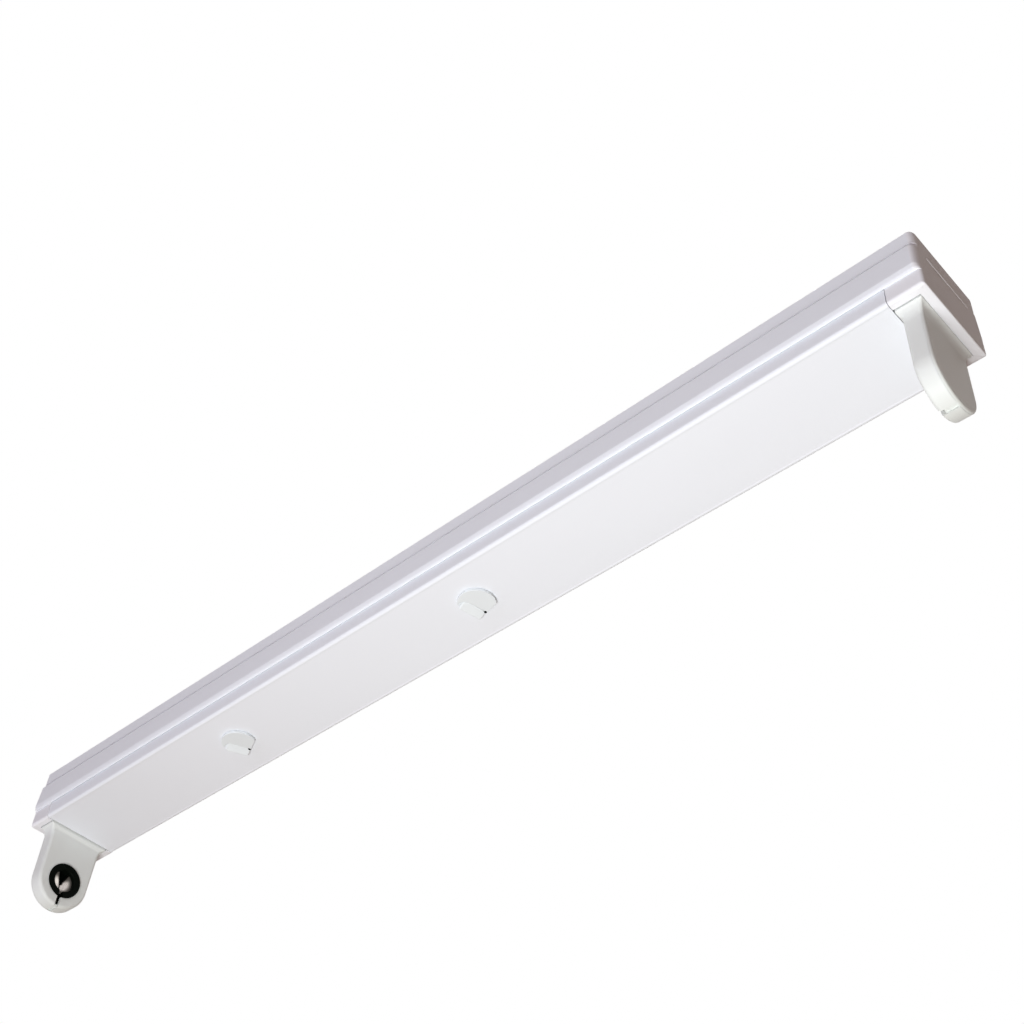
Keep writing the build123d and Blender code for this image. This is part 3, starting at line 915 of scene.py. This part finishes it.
@dataclass
class Lampholder(EndPart):
    """Turning lampholder: post with a round socket under a flared foot, a back plate, and the rotor with its contacts.

    Args:
        flare: how near the flare comes to a full quarter circle, from 0 to 1.
        core: the share of the outline left in the middle of the back, and its shift in Y and Z.
        sill: depth from and to, side margin, lift and height of the bar across the slot's end.
        flange, tongue: depth from and to, half-width, Z from and to, and edge radius.
        plate: draw and depth of each ring of the back plate.
        ring, floor: radius and depth of the corners of the rotor's ring and of its floor.
        dish: depth of a contact's dish, and the power by which it falls off.
        gap: from the middle to a contact's inner edge below, and how much more above.
        parting: how far under the axis the contacts start to part, in half-heights, and the power by which they do.
        leaf: depth of a contact's turned-in edge below, how much more above, and its width.
    """

    face_x: float = 296.0
    depth: float = 12.6
    centre_z: float = -70.2
    neck_half: float = 17.3
    bulb_half: float = 16.8
    post_top: float = -41.0
    foot_half: float = 20.0
    foot_low: float = -39.0
    foot_edge: float = 0.5
    flare_low: float = -46.4
    flare: float = 0.98
    top_z: float = -36.8
    front_inset: float = 1.1
    front_ramp: float = 2.8
    back_inset: float = 2.1
    edge: float = 1.9
    back_edge: float = 1.3
    hole_r: float = 10.2
    rim: float = 0.3
    rim_depth: float = 3.0
    slot_half: float = 1.35
    slot_depth: float = 9.4
    slot_fade: float = 1.4
    hollow: float = 9.9
    wall: float = 1.6
    core: Triple = (0.4, 0.0, -36.6)
    sill: tuple[float, ...] = (3.2, 9.8, 0.4, 1.1, 1.2)
    flange: tuple[float, ...] = (1.5, 15.0, 21.6, -36.8, -34.6, 0.3)
    tongue: tuple[float, ...] = (8.6, 12.6, 12.0, -34.8, -18.0, 0.5)
    plate: tuple[Pair, ...] = ((2.3, -0.6), (2.3, 0.04), (2.35, 0.08), (2.5, 0.1))
    plate_top: float = -47.0
    ring: tuple[Pair, ...] = ((8.6, 3.4), (6.6, 3.4), (6.6, 0.1), (10.7, 0.1), (10.7, 0.85), (9.9, 0.85), (9.9, 7.4),
                              (7.8, 7.4), (7.8, 3.4), (8.6, 3.4))
    ring_bends: tuple[float, ...] = (0.2, 1.0, 0.4, 0.1, 0.1, 0.2, 0.2, 0.2)
    floor: tuple[Pair, ...] = ((0.0, 7.2), (9.7, 7.2), (9.7, 8.4), (0.0, 8.4))
    floor_bends: Pair = (0.2, 0.3)
    contact_r: float = 8.2
    contact_half: float = 7.6
    contact_sheet: float = 0.5
    contact_depth: float = 2.85
    contact_tip: float = 0.3
    dish: Pair = (1.7, 1.2)
    gap: Pair = (0.12, 2.3)
    parting: Pair = (0.25, 1.3)
    leaf: Triple = (0.3, 1.9, 0.55)

    def half_at(self, z: np.ndarray) -> np.ndarray:
        """Half-width of the post, a straight taper from its neck to its round end."""
        return np.interp(z, [self.centre_z, self.post_top], [self.bulb_half, self.neck_half])

    def outline(self) -> tuple[np.ndarray, np.ndarray]:
        """Closed Y-Z outline of the post from the slot's +Y edge: bottom arc, tapered side and flat top.

        Returns:
            Points of the outline, and its inward normals, which are upright at the slot's edges.
        """
        start = math.asin(self.slot_half / self.bulb_half)
        a = np.linspace(start, np.pi / 2, 22) - np.pi / 2
        arc = np.stack([self.bulb_half * np.cos(a), self.centre_z + self.bulb_half * np.sin(a)], 1)
        z = np.linspace(self.centre_z, self.post_top, 7)[1:]
        half = np.concatenate([arc, np.stack([self.half_at(z), z], 1), [(self.neck_half / 2, self.post_top)]])
        line = np.concatenate([half, (half * (-1, 1))[::-1]])
        inward = normals_of(line, True)
        inward[[0, -1]] = (0, 1)
        return line, inward

    def foot(self, skin: Skin) -> None:
        """Flared foot: rounded rectangles stacked in Z, from the post's own section out to the cap's opening.

        A side or the back stands out from the post by its full step times (1 - the root of (1 - flare times t squared))
        over the same at t = 1, with t from 0 at the flare's low end to 1 at its top. The front eases over its own ramp.

        Args:
            skin: the piece that it is added to.
        """
        t = np.linspace(0, 1, 19)
        z = np.concatenate([self.flare_low + (self.foot_low - self.flare_low) * t, [self.foot_low + 0.05, self.top_z]])
        t = np.concatenate([t, [1.0, 1.0]])
        rise = (1 - np.sqrt(1 - self.flare * t * t)) / (1 - math.sqrt(1 - self.flare))
        sunk = 1.5 * GUARD * (1 - t)
        half = self.half_at(z) + (self.foot_half - self.half_at(z)) * rise - sunk
        back = self.depth - self.back_inset * (1 - rise) - sunk
        ramp = np.clip((z - self.foot_low + self.front_ramp) / self.front_ramp, 0, 1)
        front = self.front_inset * (1 - ramp * ramp * (3 - 2 * ramp)) + sunk
        r_front = self.edge + (self.foot_edge - self.edge) * ramp
        r_back = self.back_edge + (self.foot_edge - self.back_edge) * rise
        a = np.linspace(0, np.pi / 2, 8)
        arc = np.stack([np.cos(a), np.sin(a)], 1)
        arc = np.concatenate([arc[:1] - (0, GUARD), arc, arc[-1:] - (GUARD, 0)])
        corners = [np.stack([x, half - r], 1)[:, None] + bend * r[:, None, None] for x, r, bend in (
            (back - r_back, r_back, arc), (front + r_front, r_front, (arc * (-1, 1))[::-1]))]
        upper = np.concatenate(corners, 1)
        plan = np.concatenate([upper, (upper * (1, -1))[:, ::-1]], 1)
        skin.loft(at_z(plan + (self.face_x, 0), z[:, None]))

    def housing(self) -> Skin:
        """Post as one closed skin under its foot, with the flange and tongue that hold it.

        The post's rows run from the hollow's floor over the rim, face and flank to the outer face, and its columns
        follow the outline. A column's bearing from the socket's axis gives its point on the rim.

        Returns:
            The shape.
        """
        skin = Skin()
        line, inward = self.outline()
        y, z = line.T
        bearing = np.arctan2(np.abs(y), self.centre_z - z)
        wide = math.asin(self.slot_half / self.hole_r) - bearing[0]
        bearing = bearing + wide * np.clip(1 - (bearing - bearing[0]) / self.slot_fade, 0, 1)
        spoke = np.stack([np.sign(y) * np.sin(bearing), -np.cos(bearing)], 1)
        rim = spoke * self.hole_r + (0, self.centre_z)
        lap = rim + spoke * self.rim
        hollow = line + inward * self.wall
        come, left = quarter(9)
        face = lap + (line + inward * self.edge - lap) * np.array([0.0, 0.04, 0.5, 0.99, 1.0])[:, None, None]
        edge = line + inward * (self.edge * left[1:])[:, None, None]
        rear = line + inward * (self.back_edge * come)[:, None, None]
        core = rear[-1] + (line * self.core[0] + self.core[1:] - rear[-1]) * np.array([0.01, 1.0])[:, None, None]
        paths = np.concatenate([[hollow, hollow, hollow, rim, rim], face, edge, [line], rear, core])
        outer, front = self.depth - self.back_inset, self.front_inset
        depths = np.concatenate([[self.hollow, self.slot_depth, self.rim_depth, self.rim_depth, front + self.rim],
                                 np.full(len(face), front), front + self.edge * come[1:], [self.slot_depth],
                                 outer - self.back_edge * left, [outer, outer]])
        sheet = at_x(paths, self.face_x + depths[:, None])
        sheet[:, 0, 1], sheet[:, -1, 1] = self.slot_half, -self.slot_half
        last = 5 + len(face) + len(edge)
        keep = np.ones((len(paths) - 1, len(line)), bool)
        keep[1:last, -1] = False
        index = skin.grid(sheet, columns_close=True, keep=keep)
        skin.caps(index[0][::-1], index[-1], index[1:last + 1, 0], index[1:last + 1, -1][::-1],
                  index[[1, 1, last, last], [0, -1, -1, 0]])
        self.foot(skin)
        near, far, margin, lift, height = self.sill
        sill_z = self.centre_z - self.bulb_half + lift
        sill = (near, far, self.slot_half + margin, sill_z, sill_z + height, 0.1)
        for x0, x1, half, z0, z1, bend in (sill, self.flange, self.tongue):
            skin.brick((self.face_x + x0, -half, z0), (self.face_x + x1, half, z1), bend)
        return skin

    def back_plate(self) -> Skin:
        """Plate that closes the post's back: the outline drawn in below the ramp, a hair proud with an eased edge.

        Returns:
            The shape.
        """
        skin = Skin()
        line, inward = self.outline()
        draw, deep = np.array(self.plate).T
        rings = line + inward * draw[:, None, None]
        rings[..., 1] = np.minimum(rings[..., 1], self.plate_top)
        skin.loft(at_x(rings, self.face_x + self.depth - self.back_inset + deep[:, None]))
        return skin

    def spun(self, r: np.ndarray, deep: np.ndarray, a: np.ndarray) -> np.ndarray:
        """Points at radii and depths about the socket's axis, at each of a column of angles from straight up."""
        return np.stack([self.face_x + deep + 0 * a, r * np.sin(a), self.centre_z + r * np.cos(a)], -1)

    def rotor(self) -> Skin:
        """Black rotor: a ring open at the pin slot, in front of a round floor.

        Returns:
            The shape.
        """
        skin = Skin()
        r, deep = rounded_path(self.ring, self.ring_bends, 5)[:-1].T
        start = np.arcsin(self.slot_half / r)
        skin.loft(self.spun(r, deep, np.pi + start + (2 * np.pi - 2 * start) * np.linspace(0, 1, 81)[:, None]))
        floor = rounded_path(self.floor, self.floor_bends, 3)
        skin.grid(self.spun(*floor.T, np.arange(48)[:, None] * 2 * np.pi / 48), rows_close=True)
        return skin

    def contacts(self) -> Skin:
        """Two dished half moons that nearly meet below the axis and part above it, each with a leaf turned in.

        The dish is deepest on the axis and falls off with the square of the radius; the leaf is a bell curve along
        the inner edge, deeper where the two stand apart.

        Returns:
            The shape.
        """
        skin = Skin()
        t, s = np.linspace(-1, 1, 31)[:, None], np.linspace(0, 1, 17)
        apart = np.clip(t + self.parting[0], 0, None) ** self.parting[1]
        edge = self.gap[0] + self.gap[1] * apart
        z = t * self.contact_half + 0 * s
        far = np.sqrt(np.maximum(self.contact_r ** 2 - z ** 2, (edge + self.contact_tip) ** 2))
        y = edge + (far - edge) * s
        dish = self.dish[0] * np.clip(1 - (y ** 2 + z ** 2) / self.contact_r ** 2, 0, 1) ** self.dish[1]
        shallow, deeper, width = self.leaf
        leaf = (shallow + deeper * np.minimum(apart, 1)) * np.exp(-((y - edge) / width) ** 2)
        deep = self.contact_depth + dish + leaf
        for side in (-1, 1):
            moon = np.stack([self.face_x + deep, side * y, self.centre_z + z], -1)
            skin.slab(moon, moon + (self.contact_sheet, 0, 0))
        return skin

    def build(self) -> None:
        """All four pieces of the holder."""
        self.piece("lampholder", "holder_housing", self.housing(), Look.HOLDER)
        self.piece("lampholder_back", "holder_back", self.back_plate(), Look.HOLDER)
        self.piece("rotor_ring", "rotor", self.rotor(), Look.BLACK, True)
        # the contacts wear the finish with painted highlight and painted shade
        self.piece("contacts", "rotor_contacts", self.contacts(), Look.CONTACT, True, 60.0, self.palette.worn_contact)


@dataclass
class Knob(Part):
    """Quarter-turn cover knob: fan-shaped head with a raised finger ledge, and a stud slotted both ways for its spring.

    Args:
        number, x, angle: which of the two it is, its place along the cover and its turn at rest in degrees.
        crease: where the plate's edge along the ledge leaves the rim.
        ledge_soft: the share of the ledge's rise that its rounding takes.
        ease: draw and height of the head's rings, three below its top and four over its base.
        neck: heights of the stud's groove.
        slit: half the angle in radians between two prongs.
        catch: half-length and width of a catch bar, then the low side of each.
        pivot: the place, in from the ledge's corner, and the radius of a black disc that paints the shade of a dark
            spot there.
        pivot_rings: draw and height of its rings under the plate.
    """

    number: int
    x: float
    angle: float
    radius: float = 10.0
    flat: float = 7.6
    flat_corner: float = 1.2
    ledge_edge: float = 8.0
    ledge_width: float = 5.2
    ledge_length: float = 13.6
    ledge_corners: tuple[float, ...] = (2.4, 0.9, 0.9, 1.6)
    ledge_round: float = 0.85
    ledge_soft: float = 0.8
    top_z: float = -38.15
    low_z: float = -39.85
    rise: float = 1.6
    ease: tuple[Pair, ...] = ((0.5, 0.0), (0.12, -0.1), (0.0, -0.3), (0.0, 0.7), (0.05, 0.4), (0.2, 0.15), (0.45, 0.0))
    sunk: float = 0.1
    crease_share: float = 0.1
    crease: Pair = (-7.0, -7.14)
    crease_bends: Pair = (3.4, 0.4)
    plate_end: float = 6.4
    groove: float = 0.4
    groove_depth: float = 0.6
    plate_edge: float = 0.22
    crease_edge: float = 0.5
    stud_r: float = 3.0
    stud_top: float = -30.5
    stud_tip: float = 0.7
    stud_root: float = 0.4
    neck_r: float = 2.4
    neck: Pair = (-37.25, -36.6)
    slit: float = 0.34
    catch: tuple[float, ...] = (1.1, 1.3, -2.4, 1.1)
    catch_z: float = -32.6
    core_r: float = 2.3
    core_top: float = -35.4
    pivot: Triple = (0.55, 0.85, 0.9)
    pivot_rings: tuple[Pair, ...] = ((0.0, 0.4), (0.12, -0.12), (0.3, -0.2))

    def __post_init__(self) -> None:
        """Height of the head's base, and the ledge's edge at the crease and its low end."""
        self.base_z: float = self.low_z + self.groove_depth
        self.crease_x: float = self.ledge_width - self.ledge_edge
        self.ledge_low: float = self.flat - self.ledge_length

    def turned(self, points: np.ndarray) -> np.ndarray:
        """Points of the knob's own frame, turned by its angle and set at its place along the cover.

        Args:
            points: any layout of points, three numbers each.

        Returns:
            The points in the fixture's frame.
        """
        c, s = math.cos(math.radians(self.angle)), math.sin(math.radians(self.angle))
        x, y, z = np.moveaxis(points, -1, 0)
        return np.stack([self.x + x * c - y * s, x * s + y * c, z], -1)

    def fan(self, run: Sequence[Pair], bends: Sequence[float], steps: int) -> np.ndarray:
        """Closed outline: an arc of the rim from the flat on +Y round to the start of a rounded run that closes it.

        Args:
            run: the run's points.
            bends: the radius of each inner corner of it.
            steps: segments in each bend.

        Returns:
            Points of the outline, anticlockwise.
        """
        a = np.linspace(math.asin(self.flat / self.radius), math.atan2(run[0][1], run[0][0]), 56)
        arc = np.stack([self.radius * np.cos(a), self.radius * np.sin(a)], 1)
        return np.concatenate([arc, rounded_path(run, bends, steps)[1:-1]])[::-1]

    def head(self, skin: Skin) -> None:
        """Fan with eased edges, and under it the plate, which stops short of the ledge and rounds off towards it.

        Args:
            skin: the piece that they are added to.
        """
        low = (-self.ledge_edge, -math.sqrt(self.radius ** 2 - self.ledge_edge ** 2))
        flat = (math.sqrt(self.radius ** 2 - self.flat ** 2), self.flat)
        draw, level = np.array(self.ease).T
        level = level + np.repeat([self.top_z, self.base_z], [3, 4])
        fan = self.fan([low, (-self.ledge_edge, self.flat), flat], [self.flat_corner], 6)
        skin.loft(self.turned(at_z(drawn(fan, draw[:, None]), level[:, None])))
        x = self.crease_x + self.groove
        run = [self.crease, (x, self.ledge_low - self.groove), (x, self.flat), (self.plate_end, self.flat)]
        plate = self.fan(run, self.crease_bends, 8)
        come, left = quarter(7)
        inside = np.hypot(*plate.T) < self.radius - 0.1
        soft = np.where(inside & (plate[:, 0] < x + 0.05), self.crease_edge, self.plate_edge)
        even = 0 * soft
        draw = np.concatenate([[even], soft * come[:, None], [soft + 0.05]])
        level = np.concatenate([[even + self.base_z + self.sunk], soft * left[:, None] + self.low_z,
                                [even + self.low_z]])
        skin.loft(self.turned(at_z(drawn(plate, draw), level)))

    def ledge(self, skin: Skin) -> None:
        """Finger ledge: a rounded block whose height falls from full at its outer edge to a share at the crease.

        Args:
            skin: the piece that it is added to.
        """
        plan = box_plan((-self.ledge_edge, self.crease_x), (self.ledge_low, self.flat), self.ledge_corners, 8)
        come, left = quarter(7)
        foot = self.base_z + self.sunk
        rings = drawn(plan, np.concatenate([[0.0], self.ledge_round * come])[:, None])
        height = np.concatenate([[0.0], foot - self.low_z + self.rise * (1 - self.ledge_soft * left)])
        share = self.crease_share + (1 - self.crease_share) * (self.crease_x - rings[..., 0]) / self.ledge_width
        skin.loft(self.turned(at_z(rings, foot - height[:, None] * share)))

    def stud(self, skin: Skin) -> None:
        """Four prongs with a groove round them, two catch bars between them and a short core.

        Args:
            skin: the piece that they are added to.
        """
        root, tip, r = self.top_z - self.stud_root, self.stud_top - self.stud_tip, self.stud_r
        a, inner = np.linspace(self.slit, np.pi / 2 - self.slit, 8), math.sin(self.slit)
        prong = np.concatenate([np.stack([np.sin(a), np.cos(a)], 1), [(inner, inner)]])
        radii = np.array([r, r, self.neck_r, self.neck_r, r, r, r - self.stud_tip])
        level = np.array([root, *np.repeat(self.neck, 2), tip, self.stud_top])
        for sign in ((1, 1), (1, -1), (-1, -1), (-1, 1)):
            skin.loft(at_z(prong * sign * radii[:, None, None] + (self.x, 0), level[:, None]))
        half, width, *sides = self.catch
        for y in sides:
            skin.brick((self.x - half, y, self.catch_z), (self.x + half, y + width, tip), 0.15)
        core = np.broadcast_to(circle(self.x, 0, self.core_r, 24), (2, 24, 2))
        skin.loft(at_z(core, np.array([[root], [self.core_top]])))

    def build(self) -> None:
        """Head, ledge and stud as one piece, and as another a black disc beside the ledge: painted shade where a dark
        spot shows.
        """
        skin, pin = Skin(), Skin()
        self.head(skin)
        self.ledge(skin)
        self.stud(skin)
        body = f"knob_{self.number}"
        # the head wears that lighter copy of the holder plastic: painted light
        skin.build(f"{body}_head", Look.HOLDER, self.palette, body, f"cover_{body}", material=self.palette.knob)
        # painted shade: a black disc where the ledge's end meets the chord, for the dark shadowed spot there
        x, y, r = self.pivot
        draw, level = np.array(self.pivot_rings).T[..., None]
        spot = circle(self.crease_x + x, self.flat - y, r, 18)
        pin.loft(self.turned(at_z(drawn(spot, draw), self.low_z + level)))
        pin.build(f"{body}_pivot", Look.BLACK, self.palette, body)


@dataclass
class Studio:
    """Pale floor, soft lamps, white backdrop and the camera.

    Args:
        eye: camera position in millimetres.
        right, down: camera's right-hand and downward directions.
        lens, frame_width: its focal length and the width of its frame in millimetres.
        floor_z: height of the floor in metres.
        floor_half: half its width in millimetres.
        board: its darker and lighter colour.
        dim: colour of the even light.
        pale: how much the floor is lightened where it is seen.
        lamps: name, place and aim in metres, width and height, power and colour of each lamp.
    """

    eye: Triple = (445.28, -371.44, -542.31)
    right: Triple = (0.73707, 0.67318, 0.05972)
    down: Triple = (-0.45671, 0.56128, -0.69020)
    lens: float = 52.052
    frame_width: float = 36.0
    floor_z: float = -1.45
    floor_half: float = 9000.0
    board: tuple[Triple, Triple] = ((0.86, 0.79, 0.73), (0.88, 0.81, 0.75))
    dim: Triple = (0.194, 0.142, 0.120)
    pale: Triple = (0.36, 0.375, 0.385)
    lamps: tuple[tuple[str, Triple, Triple, Pair, float, Triple], ...] = (
        ("key", (0.245, -0.425, -0.85), (0.14, 0.0, -0.03), (0.38, 0.34), 7.75, (0.97, 1.0, 1.0)),
        ("front", (0.10, -1.3, -0.15), (0.06, 0.0, -0.03), (0.8, 0.5), 3.5, (0.76, 0.77, 1.0)),
        ("left", (-0.66, -0.55, -0.22), (-0.30, 0.0, -0.05), (0.3, 0.3), 0.42, (0.76, 0.79, 1.0)),
        ("rear", (-0.35, 0.62, 1.45), (-0.10, 0.0, 0.0), (0.9, 0.7), 14.0, WHITE))

    def seen(self, recipe: Recipe) -> Sock:
        """1 for a ray that shows the stage itself, straight, mirrored or through glass, and 0 for one that lights.

        Args:
            recipe: the tree that needs it.

        Returns:
            The value as a socket: 1 less the product of (1 - each kind of ray).
        """
        rays = ("Is Camera Ray", "Is Glossy Ray", "Is Transmission Ray")
        straight, mirrored, through = (recipe.node("ShaderNodeLightPath", {}, {}, ray) for ray in rays)
        return 1.0 - (1.0 - straight) * (1.0 - mirrored) * (1.0 - through)

    def floor(self) -> None:
        """Wide pale floor under everything, gently mottled."""
        skin = Skin()
        xs = np.linspace(-self.floor_half, self.floor_half, 3)
        sheet = np.stack(np.meshgrid(xs, xs, indexing="ij"), -1)
        skin.quads(skin.add(at_z(sheet, self.floor_z / MM))[::-1])
        mesh = bpy.data.meshes.new("floor")
        mesh.from_pydata((np.concatenate(skin.points) * MM).tolist(), [], skin.faces)
        board = bpy.data.materials.new("floor_board")
        recipe = Recipe(board)
        recipe.feed("Base Color", recipe.noise(2.0, 3.0).rise(*MIDDLE).tint(*self.board))
        recipe.feed("Roughness", 0.8)
        recipe.feed("Emission Color", self.seen(recipe).tint((0.0, 0.0, 0.0), self.pale))
        recipe.feed("Emission Strength", 1.0)
        mesh.materials.append(board)
        floor = placed("floor", mesh)

    def world(self) -> None:
        """White backdrop for the camera and for mirror rays, and a dim even light for everything else."""
        world = bpy.data.worlds.new("studio")
        bpy.context.scene.world = world
        recipe = Recipe(world, "Background")
        recipe.feed("Color", self.seen(recipe).tint(self.dim, WHITE))

    def lighting(self) -> None:
        """Soft boxes, each at its place and turned to its aim, hidden from the camera."""
        for name, spot, aim, size, watts, colour in self.lamps:
            light = bpy.data.lights.new(name, "AREA")
            light.shape, light.size, light.size_y = "RECTANGLE", *size
            light.energy, light.color = watts, colour
            lamp = placed(name, light)
            lamp.location = spot
            lamp.rotation_euler = (Vector(aim) - Vector(spot)).to_track_quat("-Z", "Y").to_euler()
            lamp.visible_camera = False

    def camera(self) -> None:
        """Camera at the photograph's place: its axes are the right, up and backward directions."""
        data = bpy.data.cameras.new("camera")
        data.lens, data.sensor_width = self.lens, self.frame_width
        data.clip_start, data.clip_end = 0.01, 100.0
        right, up = Vector(self.right).normalized(), -Vector(self.down).normalized()
        turn = Matrix((right, up, right.cross(up))).transposed()
        eye = placed("camera", data)
        eye.matrix_world = Matrix.Translation(Vector(self.eye) * MM) @ turn.to_4x4()
        bpy.context.scene.camera = eye

    def build(self) -> None:
        """Set the whole stage."""
        bpy.context.scene.view_settings.view_transform = "Standard"
        self.floor()
        self.world()
        self.lighting()
        self.camera()


def dress_nodes(palette: Palette) -> None:
    """Give every CAD node that still shows the finish of its own slot.

    Args:
        palette: where finishes come from.
    """
    for name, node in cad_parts.items():
        if node.hide_render:
            continue
        look = Look(node.material_slots[0].material.name.split(".")[0])
        node.material_slots[0].material = palette.get(look)
        LOG.info("%s: CAD shape in %s", name, look.value)


def main() -> None:
    """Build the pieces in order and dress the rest."""
    logging.basicConfig(level=logging.INFO, format="%(name)s %(message)s")
    palette = Palette()
    Batten(palette).build()
    Cover(palette).build()
    for end in End:
        EndCap(palette, end).build()
        Lampholder(palette, end).build()
    for number, (x, angle) in enumerate(KNOBS, start=1):
        Knob(palette, number, x, angle).build()
    dress_nodes(palette)
    Studio().build()


if __name__ == "__main__":
    main()
